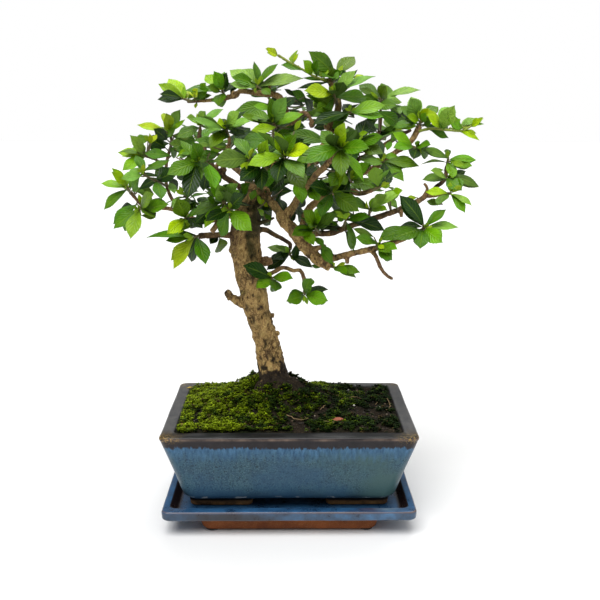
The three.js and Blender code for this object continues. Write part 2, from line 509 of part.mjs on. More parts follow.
// A tapering limb through places [x, z, y, radius], widened and lengthened by extra
function limbSolid(places, sides, stepLength, extra) {
  const curve = new THREE.CatmullRomCurve3(places.map(([x, z, y]) => alongSight(x, z, y)), false,
    'centripetal');
  const steps = Math.max(Math.min(places.length - 1, 3), Math.round(curve.getLength() / stepLength));
  const frames = curve.computeFrenetFrames(steps, false);
  const rings = [];
  for (let step = 0; step <= steps; step += 1) {
    const beyond = step === 0 ? -extra : (step === steps ? extra : 0);
    const centre = curve.getPointAt(step / steps).addScaledVector(frames.tangents[step], beyond);
    const along = curve.getUtoTmapping(step / steps) * (places.length - 1);
    const before = Math.min(Math.floor(along), places.length - 2);
    const radius = THREE.MathUtils.lerp(places[before][3], places[before + 1][3], along - before);
    const ring = [];
    for (let side = 0; side < sides; side += 1) {
      const angle = 2 * Math.PI * side / sides;
      const reach = (radius + extra) / Math.cos(Math.PI / sides / 2);
      ring.push(centre.clone()
        .addScaledVector(frames.normals[step], reach * Math.cos(angle))
        .addScaledVector(frames.binormals[step], reach * Math.sin(angle)));
    }
    rings.push(ring);
  }
  return solidFrom(loft(rings));
}

function rootPlaces() {
  return Array.from({ length: rootCount }, (_, index) => {
    const angle = 2 * Math.PI * (index + 0.5 + 0.5 * chance(700, index)) / rootCount;
    const reach = rootReach[0] + rootReach[1] * chance(701, index);
    return rootCourse.map(([share, z, radius]) => [trunk[2][0] + reach * share * Math.cos(angle), z,
      reach * share * Math.sin(angle), radius]);
  });
}

function trunkSolids(extra) {
  return [limbSolid(trunk, 10, 14, extra), ...rootPlaces().map((root) => limbSolid(root, 5, 12, extra))];
}

function limbSolids(extra) {
  return Object.values(limbs).map((places) => {
    const thick = places[0][3];
    const sides = thick > 2.8 ? 6 : 4;
    return limbSolid(places, sides, 17, extra);
  });
}

// One leaf blade from base to tip. across is its side direction and up its upper face.
function bladeSolid(base, tip, across, up, width) {
  const spine = tip.clone().sub(base);
  const station = ([share, wide]) => {
    const lift = leafArch * spine.length() * 4 * share * (1 - share);
    const middle = base.clone().addScaledVector(spine, share).addScaledVector(up, lift);
    const half = width * wide / 2;
    return [-half, half].map((aside) => middle.clone().addScaledVector(across, aside));
  };
  const top = [base, ...station(bladeNarrow), ...station(bladeWide), tip];
  const count = top.length;
  const points = [...top, ...top.map((point) => point.clone().addScaledVector(up, -bladeThick))];
  const faces = [[0, 2, 1], [1, 2, 3], [2, 4, 3], [3, 4, 5]];
  const outline = [0, 2, 4, 5, 3, 1];
  const triangles = [];
  for (const [a, b, c] of faces) {
    triangles.push([a, b, c], [a + count, c + count, b + count]);
  }
  outline.forEach((a, index) => {
    const b = outline[(index + 1) % outline.length];
    triangles.push([a, b + count, b], [a, a + count, b + count]);
  });
  return solidFrom(closedBody(points, triangles));
}

// The place on a shoot where a leaf starts: a little further back for each leaf at the same place
function leafBase(places, from, order) {
  const back = places[from - 1].clone().sub(places[from]);
  const spacing = Math.min(0.8, 0.1 * back.length());
  return places[from].clone().addScaledVector(back.normalize(), spacing * (order % 7));
}

// Where a leaf that the front shows ends at its nth swing: the tip slides along the line of sight,
// so that it stays where it is seen
function seenLeaf(spray, leaf, base, baseDepth, [, tipX, tipZ, seenWidth], swing) {
  const level = alongSight(tipX, tipZ, baseDepth);
  const seen = level.distanceTo(base);
  const full = THREE.MathUtils.clamp(lengthPerWidth * seenWidth, ...leafLengths);
  const lean = Math.min(mostLean, Math.sqrt(Math.max(0, full * full - seen * seen)));
  const forward = chance(spray, leaf, 1) < THREE.MathUtils.clamp(0.6 - baseDepth / 80, 0.15, 0.9);
  const aside = Math.ceil(swing / 2) * swingStep * (swing % 2 ? 1 : -1);
  const tip = alongSight(tipX, tipZ, baseDepth + (forward ? -lean : lean) + (forward ? -aside : aside));
  const ahead = tip.clone().sub(base).normalize();
  const toEye = eye.clone().sub(base).normalize();
  const flat = toEye.clone().cross(ahead).normalize();
  const facing = ahead.clone().cross(flat).normalize();
  const width = Math.max(seenWidth, leastWidth * Math.min(leafLengths[1], tip.distanceTo(base)));
  const roll = Math.acos(Math.min(1, seenWidth / width)) * (flat.z > 0 ? -1 : 1);
  const across = flat.clone().multiplyScalar(Math.cos(roll)).addScaledVector(facing, Math.sin(roll));
  const up = facing.clone().multiplyScalar(Math.cos(roll)).addScaledVector(flat, -Math.sin(roll));
  return { base, tip, across, up, width };
}

// A leaf that the front doesn't show: round the shoot by the golden angle, turned on at each swing
function ruledLeaf(spray, leaf, base, outward, swing) {
  const turn = Math.atan2(outward.y, outward.x) + goldenAngle * leaf + 0.7 * chance(spray, leaf, 2)
    + 0.37 * swing;
  const rise = ruledRise[0] + ruledRise[1] * chance(spray, leaf, 3);
  const length = ruledLength[0] + ruledLength[1] * chance(spray, leaf, 4);
  const ahead = new THREE.Vector3(Math.cos(turn) * Math.cos(rise), Math.sin(turn) * Math.cos(rise),
    Math.sin(rise));
  const tip = base.clone().addScaledVector(ahead, length);
  const level = new THREE.Vector3(-Math.sin(turn), Math.cos(turn), 0);
  const above = ahead.clone().cross(level).normalize();
  const roll = 0.9 * (chance(spray, leaf, 5) - 0.5);
  const across = level.clone().multiplyScalar(Math.cos(roll)).addScaledVector(above, Math.sin(roll));
  const up = above.clone().multiplyScalar(Math.cos(roll)).addScaledVector(level, -Math.sin(roll));
  const width = length * (ruledWidth[0] + ruledWidth[1] * chance(spray, leaf, 6));
  return { base, tip, across, up, width };
}

function boxOf(solid) {
  const { min, max } = solid.boundingBox();
  return new THREE.Box3(new THREE.Vector3(...min), new THREE.Vector3(...max));
}

function growSprays(woodClear) {
  const entries = Object.entries(sprays);
  const placed = [];
  const bodies = entries.map(([, { stem }], index) => {
    const sides = 4;
    const shoot = limbSolid(stem.map((at, step) => [...at, step === 0 ? 1.2 : 0.95]), sides, 20, 0);
    placed.push({ spray: index, solid: shoot, box: boxOf(shoot) });
    return [shoot];
  });
  const isClear = (spray, solid) => {
    const box = boxOf(solid);
    const roomy = box.clone().expandByScalar(gap);
    const meets = placed.some((other) => other.spray !== spray && other.box.intersectsBox(roomy)
      && solid.minGap(other.solid, 2 * gap) < gap);
    if (meets || solid.intersect(woodClear).volume() > 0.05 * solid.volume()) {
      return null;
    }
    return box;
  };
  entries.forEach(([, { stem, leaves, ruled = 0 }], spray) => {
    const places = stem.map(([x, z, y]) => alongSight(x, z, y));
    const outward = places[places.length - 1].clone().sub(places[0]);
    for (let leaf = 0; leaf < leaves.length + ruled; leaf += 1) {
      const seen = leaves[leaf];
      const from = seen ? seen[0] : 1 + (leaf % (stem.length - 1));
      const base = leafBase(places, from, leaf);
      for (let swing = 0; swing < swings; swing += 1) {
        const shape = seen
          ? seenLeaf(spray, leaf, base, stem[from][2], seen, swing)
          : ruledLeaf(spray, leaf, base, outward, swing);
        const start = base.clone().add(shape.tip.clone().sub(base).setLength(0.5));
        const solid = bladeSolid(start, shape.tip, shape.across, shape.up, shape.width);
        const box = isClear(spray, solid);
        if (box) {
          placed.push({ spray, solid, box });
          bodies[spray].push(solid);
          break;
        }
      }
    }
  });
  entries.forEach(([name], index) => {
    const body = mainBody(joined(bodies[index]).subtract(woodClear));
    place(`spray_${name}`, geometryFrom(body), materials.leaf);
  });
}

makePads();
makeTray();
makePot();
makeNet();
makeSoil(joined(trunkSolids(gap)));
place('wood', geometryFrom(joined([...trunkSolids(0), ...limbSolids(0)])), materials.bark);
growSprays(joined([...trunkSolids(woodGap), ...limbSolids(woodGap)]));

export default bonsai;
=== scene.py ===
import math

import bpy
import numpy as np
from mathutils import Matrix, Vector, noise
from mathutils.kdtree import KDTree


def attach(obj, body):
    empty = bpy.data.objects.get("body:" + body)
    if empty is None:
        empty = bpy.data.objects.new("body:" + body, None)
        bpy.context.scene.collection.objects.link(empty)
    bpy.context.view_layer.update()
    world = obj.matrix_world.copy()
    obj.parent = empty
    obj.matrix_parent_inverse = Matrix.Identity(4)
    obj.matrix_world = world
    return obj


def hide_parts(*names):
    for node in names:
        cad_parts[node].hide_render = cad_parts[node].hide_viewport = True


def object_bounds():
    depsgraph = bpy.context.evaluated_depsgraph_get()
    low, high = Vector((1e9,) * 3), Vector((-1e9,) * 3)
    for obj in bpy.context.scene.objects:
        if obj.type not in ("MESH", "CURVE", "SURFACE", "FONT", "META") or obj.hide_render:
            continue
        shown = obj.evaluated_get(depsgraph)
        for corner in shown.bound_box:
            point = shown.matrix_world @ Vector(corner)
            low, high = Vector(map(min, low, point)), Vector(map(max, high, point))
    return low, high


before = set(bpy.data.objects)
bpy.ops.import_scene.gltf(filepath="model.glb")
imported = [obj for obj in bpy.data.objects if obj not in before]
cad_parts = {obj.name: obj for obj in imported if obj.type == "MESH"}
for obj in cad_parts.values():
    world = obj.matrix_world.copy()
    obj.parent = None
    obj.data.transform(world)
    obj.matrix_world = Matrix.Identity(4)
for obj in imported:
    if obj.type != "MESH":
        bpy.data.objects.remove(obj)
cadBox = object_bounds()
mm = 0.001
print("frame loaded")

# the camera stands where the photograph was taken from, in mm and degrees
view = {
    "eye": (0.0, -563.0, 251.0),
    "down": 11.6,
    "right": 0.68,
    "lens": 53.88,
    "sensor": 36.0,
    "near": 10,
}
eye = np.array(view["eye"])


def makeCamera():
    down = math.radians(view["down"])
    aside = math.radians(view["right"])
    ahead = Vector((0, math.cos(down), -math.sin(down)))
    right = Vector((1, 0, 0))
    upward = Vector((0, math.sin(down), math.cos(down)))
    turnedAhead = ahead * math.cos(aside) + right * math.sin(aside)
    turnedRight = right * math.cos(aside) - ahead * math.sin(aside)
    data = bpy.data.cameras.new("camera")
    data.lens = view["lens"]
    data.sensor_width = view["sensor"]
    data.clip_start = view["near"] * mm
    camera = bpy.data.objects.new("camera", data)
    turn = Matrix((turnedRight, upward, -turnedAhead)).transposed().to_4x4()
    camera.matrix_world = Matrix.Translation(Vector(view["eye"]) * mm) @ turn
    bpy.context.scene.collection.objects.link(camera)
    bpy.context.scene.camera = camera


makeCamera()
print("camera placed")

# a white studio: even light from all round, a wide lamp from above on the left, and weaker ones from
# behind and from the right
studio = {
    "backdrop": 1.0,
    "surround": 0.28,
    "floorColor": (0.775, 0.775, 0.775, 1),
    "floorReach": 8.0,  # metres
    "lamps": {
        "key": {"from": (-0.40, -0.72, 1.45), "power": 3.15, "spread": 46},
        "top": {"from": (0.15, 0.60, 1.30), "power": 1.2, "spread": 35},
        "fill": {"from": (0.9, -0.35, 0.9), "power": 0.7, "spread": 70},
    },
}


def makeStudio():
    scene = bpy.context.scene
    scene.view_settings.view_transform = "Standard"
    world = bpy.data.worlds.new("studio")
    world.use_nodes = True
    nodes = world.node_tree.nodes
    links = world.node_tree.links
    surround = nodes["Background"]
    surround.inputs["Color"].default_value = (1, 1, 1, 1)
    surround.inputs["Strength"].default_value = studio["surround"]
    backdrop = nodes.new("ShaderNodeBackground")
    backdrop.inputs["Strength"].default_value = studio["backdrop"]
    backdrop.inputs["Color"].default_value = (1, 1, 1, 1)
    path = nodes.new("ShaderNodeLightPath")
    mix = nodes.new("ShaderNodeMixShader")
    links.new(path.outputs["Is Camera Ray"], mix.inputs[0])
    links.new(surround.outputs[0], mix.inputs[1])
    links.new(backdrop.outputs[0], mix.inputs[2])
    links.new(mix.outputs[0], nodes["World Output"].inputs["Surface"])
    scene.world = world
    for name, lamp in studio["lamps"].items():
        data = bpy.data.lights.new(name, "SUN")
        data.energy = lamp["power"]
        data.angle = math.radians(lamp["spread"])
        light = bpy.data.objects.new(name, data)
        light.rotation_euler = Vector(lamp["from"]).to_track_quat("Z", "Y").to_euler()
        scene.collection.objects.link(light)
    material = bpy.data.materials.new("paleFloor")
    material.use_nodes = True
    shader = material.node_tree.nodes["Principled BSDF"]
    shader.inputs["Base Color"].default_value = studio["floorColor"]
    shader.inputs["Roughness"].default_value = 1.0
    mesh = bpy.data.meshes.new("floor")
    reach = studio["floorReach"]
    mesh.from_pydata([(-reach, -reach, 0), (reach, -reach, 0), (reach, reach, 0), (-reach, reach, 0)],
                     [], [(0, 1, 2, 3)])
    mesh.materials.append(material)
    floor = bpy.data.objects.new("floor", mesh)
    scene.collection.objects.link(floor)


makeStudio()
print("studio lit")


# repeatable numbers from 0 to 1 for a set of whole numbers, the same ones as in the solids
hashing = {"seed": 4207, "step": 0x9E3779B9, "first": 0x85EBCA6B, "second": 0xC2B2AE35, "span": 2 ** 32}


def chance(*keys):
    mixed = hashing["seed"]
    for key in keys:
        mixed = (mixed ^ (key + hashing["step"])) * hashing["first"] % hashing["span"]
        mixed ^= mixed >> 13
        mixed = mixed * hashing["second"] % hashing["span"]
        mixed ^= mixed >> 16
    return mixed / hashing["span"]


def unit(vector):
    return vector / np.linalg.norm(vector)


# the point at depth y on the line from the eye through (x, z) of the trunk's upright plane
def alongSight(x, z, y):
    stretch = (y - eye[1]) / -eye[1]
    return np.array([eye[0] + (x - eye[0]) * stretch, y, eye[2] + (z - eye[2]) * stretch])


def noiseAt(points, size, shift=0.0, octaves=3):
    return np.array([noise.fractal((x / size + shift, y / size - shift, z / size + 2 * shift), 1.0, 2.0,
                                   octaves) for x, y, z in points])


# 1 at a centre, falling to nothing with the distance from it, each way by its own spread
def spot(a, b, centre, spread):
    return np.exp(-((a - centre[0]) / spread[0]) ** 2 - ((b - centre[1]) / spread[1]) ** 2)


# how much of a round mark reaches each point: nearly all inside its size, nearly nothing outside
def disc(points, centre, size):
    return np.exp(-(np.linalg.norm(points - centre, axis=1) / size) ** 4)


# a smooth curve through points, about as a Catmull-Rom spline in CAD runs, with values carried along
def smoothCurve(points, values, spacing):
    points = np.array(points, float)
    ends = np.vstack([2 * points[0] - points[1], points, 2 * points[-1] - points[-2]])
    curve = []
    carried = []
    for i in range(1, len(ends) - 2):
        four = ends[i - 1:i + 3]
        knots = [0.0]
        for a, b in zip(four, four[1:]):
            knots.append(knots[-1] + max(np.linalg.norm(b - a), 1e-6) ** 0.5)
        steps = max(2, int(np.linalg.norm(four[2] - four[1]) / spacing))
        for step in range(steps):
            t = knots[1] + (knots[2] - knots[1]) * step / steps
            layer = list(four)
            for width in (1, 2, 3):
                for k in range(len(layer) - 1):
                    low, high = (knots[1], knots[2]) if width == 3 else (knots[k], knots[k + width])
                    share = (t - low) / (high - low)
                    layer[k] = layer[k] * (1 - share) + layer[k + 1] * share
                layer.pop()
            curve.append(layer[0])
            carried.append(values[i - 1] * (1 - step / steps) + values[i] * step / steps)
    curve.append(points[-1])
    carried.append(values[-1])
    return np.array(curve), np.array(carried)


# adds a skin over rings with the same number of points, closed flat at both ends
def addLoft(points, faces, rings):
    first = len(points)
    count = len(rings[0])
    for ring in rings:
        points.extend(ring)
    for row in range(len(rings) - 1):
        for i in range(count):
            a = first + row * count + i
            b = first + row * count + (i + 1) % count
            faces.append((a, b, b + count, a + count))
    last = first + (len(rings) - 1) * count
    faces.append(tuple(range(first + count - 1, first - 1, -1)))
    faces.append(tuple(range(last, last + count)))


def lofted(rings):
    points, faces = [], []
    addLoft(points, faces, rings)
    return points, faces


# a direction that no tube sets out in
askew = (0.31, 0.87, 0.38)


# adds a tube round a curve to points and faces, each ring turned as little as possible from the last
def addTube(points, faces, curve, radii, sides):
    ahead = np.gradient(curve, axis=0)
    ahead /= np.linalg.norm(ahead, axis=1)[:, None]
    side = np.cross(ahead[0], askew)
    angles = np.arange(sides) * 2 * math.pi / sides
    rings = []
    for centre, forward, radius in zip(curve, ahead, radii):
        side = unit(side - forward * side.dot(forward))
        other = np.cross(forward, side)
        rings.append(centre + radius * (np.outer(np.cos(angles), side) + np.outer(np.sin(angles), other)))
    addLoft(points, faces, rings)


def makePiece(name, points, faces, materials, replaced=(), smooth=True):
    mesh = bpy.data.meshes.new(name)
    mesh.from_pydata((np.asarray(points, float) * mm).tolist(), [], faces)
    for material in materials:
        mesh.materials.append(material)
    if smooth:
        mesh.shade_smooth()
    mesh.update()
    piece = bpy.data.objects.new(name, mesh)
    bpy.context.scene.collection.objects.link(piece)
    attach(piece, "root")
    if replaced:
        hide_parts(*replaced)
    return piece


# puts a modifier on a piece and makes its result the piece's own mesh
def shapeWith(piece, kind, **settings):
    modifier = piece.modifiers.new("shape", kind)
    for key, value in settings.items():
        setattr(modifier, key, value)
    shaped = bpy.data.meshes.new_from_object(piece.evaluated_get(bpy.context.evaluated_depsgraph_get()))
    piece.modifiers.clear()
    old = piece.data
    piece.data = shaped
    bpy.data.meshes.remove(old)


# joins a body given by its rings to a piece, or cuts it out of the piece
def combine(piece, rings, operation):
    points, faces = lofted(rings)
    mesh = bpy.data.meshes.new("cutter")
    mesh.from_pydata((np.asarray(points, float) * mm).tolist(), [], faces)
    cutter = bpy.data.objects.new("cutter", mesh)
    bpy.context.scene.collection.objects.link(cutter)
    shapeWith(piece, "BOOLEAN", object=cutter, operation=operation, solver="EXACT")
    bpy.data.objects.remove(cutter)
    bpy.data.meshes.remove(mesh)


def readPoints(mesh, what="co"):
    values = np.zeros(len(mesh.vertices) * 3)
    mesh.vertices.foreach_get(what, values)
    return values.reshape(-1, 3) / (mm if what == "co" else 1)


def setPoints(mesh, points):
    mesh.vertices.foreach_set("co", (points * mm).ravel())
    mesh.update()


def addMask(mesh, name, values):
    mesh.attributes.new(name, "FLOAT", "POINT").data.foreach_set("value", np.asarray(values, np.float32))


def addTones(mesh, name, colors):
    full = np.ones((len(colors), 4), np.float32)
    full[:, :3] = np.clip(colors, 0, 1)
    mesh.attributes.new(name, "FLOAT_COLOR", "POINT").data.foreach_set("color", full.ravel())


# shader helpers: values are numbers, colours or sockets
def plug(tree, socket, value):
    if isinstance(value, bpy.types.NodeSocket):
        tree.links.new(value, socket)
    elif isinstance(value, tuple) and len(value) == 3 and socket.type == "RGBA":
        socket.default_value = (*value, 1)
    else:
        socket.default_value = value


def addNode(tree, kind, inputs=None, **settings):
    node = tree.nodes.new(kind)
    for key, value in settings.items():
        setattr(node, key, value)
    for key, value in (inputs or {}).items():
        plug(tree, node.inputs[key], value)
    return node


def math2(tree, operation, first, second=0.0, clamp=False):
    return addNode(tree, "ShaderNodeMath", {0: first, 1: second}, operation=operation,
                   use_clamp=clamp).outputs[0]


def times(tree, first, second, clamp=False):
    return math2(tree, "MULTIPLY", first, second, clamp)


def scaled(tree, vector, factors):
    return addNode(tree, "ShaderNodeVectorMath", {0: vector, 1: factors}, operation="MULTIPLY").outputs[0]


def addNoise(tree, place, scale, detail, roughness):
    return addNode(tree, "ShaderNodeTexNoise", {"Vector": place, "Scale": scale, "Detail": detail,
                                                "Roughness": roughness}).outputs["Fac"]


def mixColor(tree, share, first, second, mode="MIX"):
    return addNode(tree, "ShaderNodeMix", {0: share, 6: first, 7: second}, data_type="RGBA",
                   blend_type=mode).outputs[2]


# a colour with others laid over it, each as (share, colour)
def layered(tree, color, *layers):
    for share, over in layers:
        color = mixColor(tree, share, color, over)
    return color


def ramp(tree, value, low, high, first=0.0, last=1.0):
    return addNode(tree, "ShaderNodeMapRange", {"Value": value, "From Min": low, "From Max": high,
                                                "To Min": first, "To Max": last}).outputs["Result"]


def readMask(tree, name):
    return addNode(tree, "ShaderNodeAttribute", attribute_name=name).outputs["Fac"]


def readTones(tree, name):
    return addNode(tree, "ShaderNodeAttribute", attribute_name=name).outputs["Color"]


def newMaterial(name, **constants):
    material = bpy.data.materials.new(name)
    material.use_nodes = True
    shader = material.node_tree.nodes["Principled BSDF"]
    for key, value in constants.items():
        socket = shader.inputs[key.replace("_", " ")]
        plug(material.node_tree, socket, value)
    return material, material.node_tree, shader


# a dictionary's bump is its strength and its distance in metres
def addBump(tree, shader, height, strength, distance):
    bump = addNode(tree, "ShaderNodeBump", {"Height": height, "Strength": strength, "Distance": distance})
    tree.links.new(bump.outputs["Normal"], shader.inputs["Normal"])


def newGroup(name, inputs, outputs):
    tree = bpy.data.node_groups.new(name, "ShaderNodeTree")
    for label, value in inputs.items():
        socket = tree.interface.new_socket(label, in_out="INPUT", socket_type="NodeSocketFloat")
        socket.default_value = value
    for label in outputs:
        tree.interface.new_socket(label, in_out="OUTPUT", socket_type="NodeSocketFloat")
    return tree, addNode(tree, "NodeGroupInput"), addNode(tree, "NodeGroupOutput")


# soft patches and sharp specks, with scales in 1/m
def makeMottle():
    tree, given, result = newGroup("mottle", {"Patch Scale": 60.0, "Speck Scale": 900.0, "Speck Share": 0.5},
                                   ["Patches", "Specks", "Height"])
    place = addNode(tree, "ShaderNodeTexCoord").outputs["Object"]
    patches = addNoise(tree, place, given.outputs["Patch Scale"], 6.0, 0.6)
    grain = addNoise(tree, place, given.outputs["Speck Scale"], 2.0, 0.5)
    over = math2(tree, "SUBTRACT", grain, given.outputs["Speck Share"])
    plug(tree, result.inputs["Patches"], ramp(tree, patches, 0.32, 0.68))
    plug(tree, result.inputs["Specks"], times(tree, over, 12.0, clamp=True))
    plug(tree, result.inputs["Height"], math2(tree, "ADD", patches, times(tree, grain, 0.3)))
    return tree


# 1 above a level in metres, with a wavy border that can be drawn out upright like running glaze
def makeLevel():
    tree, given, result = newGroup("level", {"Level": 0.05, "Softness": 0.001, "Waviness": 0.001,
                                             "Wave Scale": 120.0, "Upright": 1.0}, ["Above"])
    place = addNode(tree, "ShaderNodeTexCoord").outputs["Object"]
    height = addNode(tree, "ShaderNodeSeparateXYZ", {"Vector": place}).outputs["Z"]
    squeeze = addNode(tree, "ShaderNodeCombineXYZ", {"X": 1.0, "Y": 1.0, "Z": given.outputs["Upright"]})
    drawn = scaled(tree, place, squeeze.outputs[0])
    wave = addNoise(tree, drawn, given.outputs["Wave Scale"], 5.0, 0.65)
    shift = times(tree, math2(tree, "SUBTRACT", wave, 0.5), given.outputs["Waviness"])
    over = math2(tree, "SUBTRACT", math2(tree, "ADD", height, shift), given.outputs["Level"])
    share = math2(tree, "ADD", math2(tree, "DIVIDE", over, given.outputs["Softness"]), 0.5, clamp=True)
    plug(tree, result.inputs["Above"], share)
    return tree


mottle = makeMottle()
level = makeLevel()


# a dictionary's mottle is its patch scale, speck scale and speck share
def addMottle(tree, patchScale, speckScale, speckShare):
    return addNode(tree, "ShaderNodeGroup", node_tree=mottle, inputs={
        "Patch Scale": patchScale, "Speck Scale": speckScale, "Speck Share": speckShare}).outputs


def addLevel(tree, height, softness, waviness, waveScale, upright=1.0):
    return addNode(tree, "ShaderNodeGroup", node_tree=level, inputs={
        "Level": height, "Softness": softness, "Waviness": waviness, "Wave Scale": waveScale,
        "Upright": upright}).outputs["Above"]


# a material whose tones are the mesh's own, dimmed in patches down to a shade; a dictionary's dimming is
# its patch scale, speck scale and shade
def makeTonedMaterial(name, patchScale, speckScale, shade, **constants):
    material, tree, shader = newMaterial(name, **constants)
    marks = addMottle(tree, patchScale, speckScale, 0.5)
    dimmed = mixColor(tree, marks["Patches"], (shade, shade, shade), (1, 1, 1))
    color = mixColor(tree, 1.0, readTones(tree, "tone"), dimmed, "MULTIPLY")
    plug(tree, shader.inputs["Base Color"], color)
    return material, tree, shader, marks


# a rectangle with round corners, lying level
def roundedRing(halfX, halfY, radius, z, perCorner=9, perSide=14):
    arcs = []
    for corner in range(4):
        signX = 1 if corner in (0, 3) else -1
        signY = 1 if corner < 2 else -1
        angles = [(corner + step / (perCorner - 1)) * math.pi / 2 for step in range(perCorner)]
        arcs.append([np.array((signX * (halfX - radius) + radius * math.cos(angle),
                               signY * (halfY - radius) + radius * math.sin(angle), z)) for angle in angles])
    ring = []
    for arc, following in zip(arcs, arcs[1:] + arcs[:1]):
        straight = following[0] - arc[-1]
        ring += arc + [arc[-1] + straight * step / perSide for step in range(1, perSide)]
    return ring


# rounds the corners of a profile of (half length, half depth, corner radius, height) and splits long runs
def softProfile(profile, reach, spacing):
    profile = np.array(profile, float)
    run = lambda a, b: math.hypot(a[0] - b[0], a[3] - b[3])
    soft = [profile[0]]
    for before, here, after in zip(profile, profile[1:], profile[2:]):
        start = here + (before - here) * min(reach / run(before, here), 0.45)
        end = here + (after - here) * min(reach / run(after, here), 0.45)
        for t in (0, 0.25, 0.5, 0.75, 1):
            soft.append(start * (1 - t) ** 2 + here * 2 * t * (1 - t) + end * t ** 2)
    soft.append(profile[-1])
    dense = []
    for a, b in zip(soft, soft[1:]):
        steps = max(1, round(run(a, b) / spacing))
        dense += [a + (b - a) * step / steps for step in range(steps)]
    return dense + [soft[-1]]


# distance in mm from a level rounded outline, for marks that follow a rim
def offOutline(points, halfX, halfY, radius):
    beyondX = np.abs(points[:, 0]) - (halfX - radius)
    beyondY = np.abs(points[:, 1]) - (halfY - radius)
    outside = np.hypot(np.maximum(beyondX, 0), np.maximum(beyondY, 0))
    return outside + np.minimum(np.maximum(beyondX, beyondY), 0) - radius


def nearRim(points, halfX, halfY, radius, z, width):
    away = np.hypot(offOutline(points, halfX, halfY, radius), points[:, 2] - z)
    return np.exp(-(away / width) ** 2)


# hand-made unevenness
def unsettle(mesh, reach, size, shift):
    points = readPoints(mesh)
    normals = readPoints(mesh, "normal")
    setPoints(mesh, points + normals * (reach * noiseAt(points, size, shift, 2))[:, None])


def smoothByAngle(mesh, degrees):
    mesh.shade_smooth()
    mesh.set_sharp_from_angle(angle=math.radians(degrees))


# rubber pads under the tray
pads = {
    "places": [(-47.5, -43.8), (47.5, -43.8), (-47.5, 43.8), (47.5, 43.8)],
    "profile": [(0.4, 0.15), (3.6, 0.0), (4.2, 0.12), (4.4, 0.5), (4.35, 1.0), (4.1, 1.2), (0.4, 1.2)],
    "sides": 40,
    "smoothBelow": 40,
    "mottle": (300.0, 3000.0, 0.5),
    "bump": (0.3, 0.0002),
    "roughness": (0.6, 0.8),
    "color": (0.012, 0.012, 0.013),
    "speck": (0.03, 0.03, 0.031),
}


def makePads():
    material, tree, shader = newMaterial("blackRubber")
    marks = addMottle(tree, *pads["mottle"])
    plug(tree, shader.inputs["Roughness"], ramp(tree, marks["Patches"], 0, 1, *pads["roughness"]))
    plug(tree, shader.inputs["Base Color"], mixColor(tree, marks["Specks"], pads["color"], pads["speck"]))
    addBump(tree, shader, marks["Height"], *pads["bump"])
    angles = np.arange(pads["sides"]) * 2 * math.pi / pads["sides"]
    points, faces = [], []
    for x, y in pads["places"]:
        addLoft(points, faces, [[(x + r * math.cos(a), y + r * math.sin(a), z) for a in angles]
                                for r, z in pads["profile"]])
    piece = makePiece("pads", points, faces, [material], ["pad_1", "pad_2", "pad_3", "pad_4"])
    smoothByAngle(piece.data, pads["smoothBelow"])


makePads()
print("pads made")

# the drip tray and its hollow foot, bare clay under the glaze
tray = {
    "half": (77.6, 57.6),
    "corner": 4,
    "markCorner": 5.5,
    "foot": (53, 48.6),
    "footCorner": 5.3,
    "footWall": 10,
    "footZ": 1.5,
    "underZ": 10,
    "floorZ": 11.6,
    "topZ": 16.4,
    "rim": 7.2,
    "sideRim": 4.4,
    "recessZ": 6.8,
    # above this level in m the foot's clay gets painted shade under the tray
    "shadedFrom": 0.0105,
    "unsettled": {"reach": 0.22, "size": 26, "shift": 3.0},
    "smoothBelow": 50,
    "mottle": (85.0, 950.0, 0.55),
    "broadMottle": (18.0, 400.0, 0.5),
    "bump": (0.25, 0.0004),
    "roughness": (0.22, 0.42),
    "paleSpecks": 0.35,
    "deepBlue": (0.007, 0.027, 0.068),
    "blue": (0.025, 0.106, 0.235),
    "paleBlue": (0.060, 0.155, 0.290),
    "dimBlue": (0.031, 0.034, 0.042),
    "brown": (0.020, 0.017, 0.019),
    "topBrown": (0.062, 0.032, 0.035),
    "wellBrown": (0.014, 0.008, 0.008),
    "scuff": (0.17, 0.22, 0.25),
    "wornLine": (0.112, 0.080, 0.074),
    "clay": (0.215, 0.066, 0.020),
    "darkClay": (0.085, 0.025, 0.010),
    # marks along the length, as (middle, reach)
    "brownSide": (-38, 26),
    "brownWave": (14, 1.0),  # size and shift of the waves in its border
    "brownTop": (46.5, 5.5),
    "scuffed": (58.5, 3.4),
}

bareClay = {
    "mottle": (55.0, 1800.0, 0.56),
    "bump": (0.35, 0.0004),
    "grain": (0.34, 0.17, 0.08),
    "grains": 0.35,
    # near-black painted shade on bare clay under a glazed body
    "paintedShade": (0.012, 0.010, 0.010),
    "shadeBorder": (0.0012, 0.003, 110.0),  # softness, waviness and scale
}


# bare clay, with near-black painted shade above a level in metres, under a glazed body
def makeClay(name, clay, darkClay, shadedFrom):
    material, tree, shader = newMaterial(name, Roughness=0.85, Specular_IOR_Level=0.15)
    marks = addMottle(tree, *bareClay["mottle"])
    color = layered(tree, mixColor(tree, marks["Patches"], darkClay, clay),
                    (times(tree, marks["Specks"], bareClay["grains"]), bareClay["grain"]),
                    (addLevel(tree, shadedFrom, *bareClay["shadeBorder"]), bareClay["paintedShade"]))
    plug(tree, shader.inputs["Base Color"], color)
    addBump(tree, shader, marks["Height"], *bareClay["bump"])
    return material


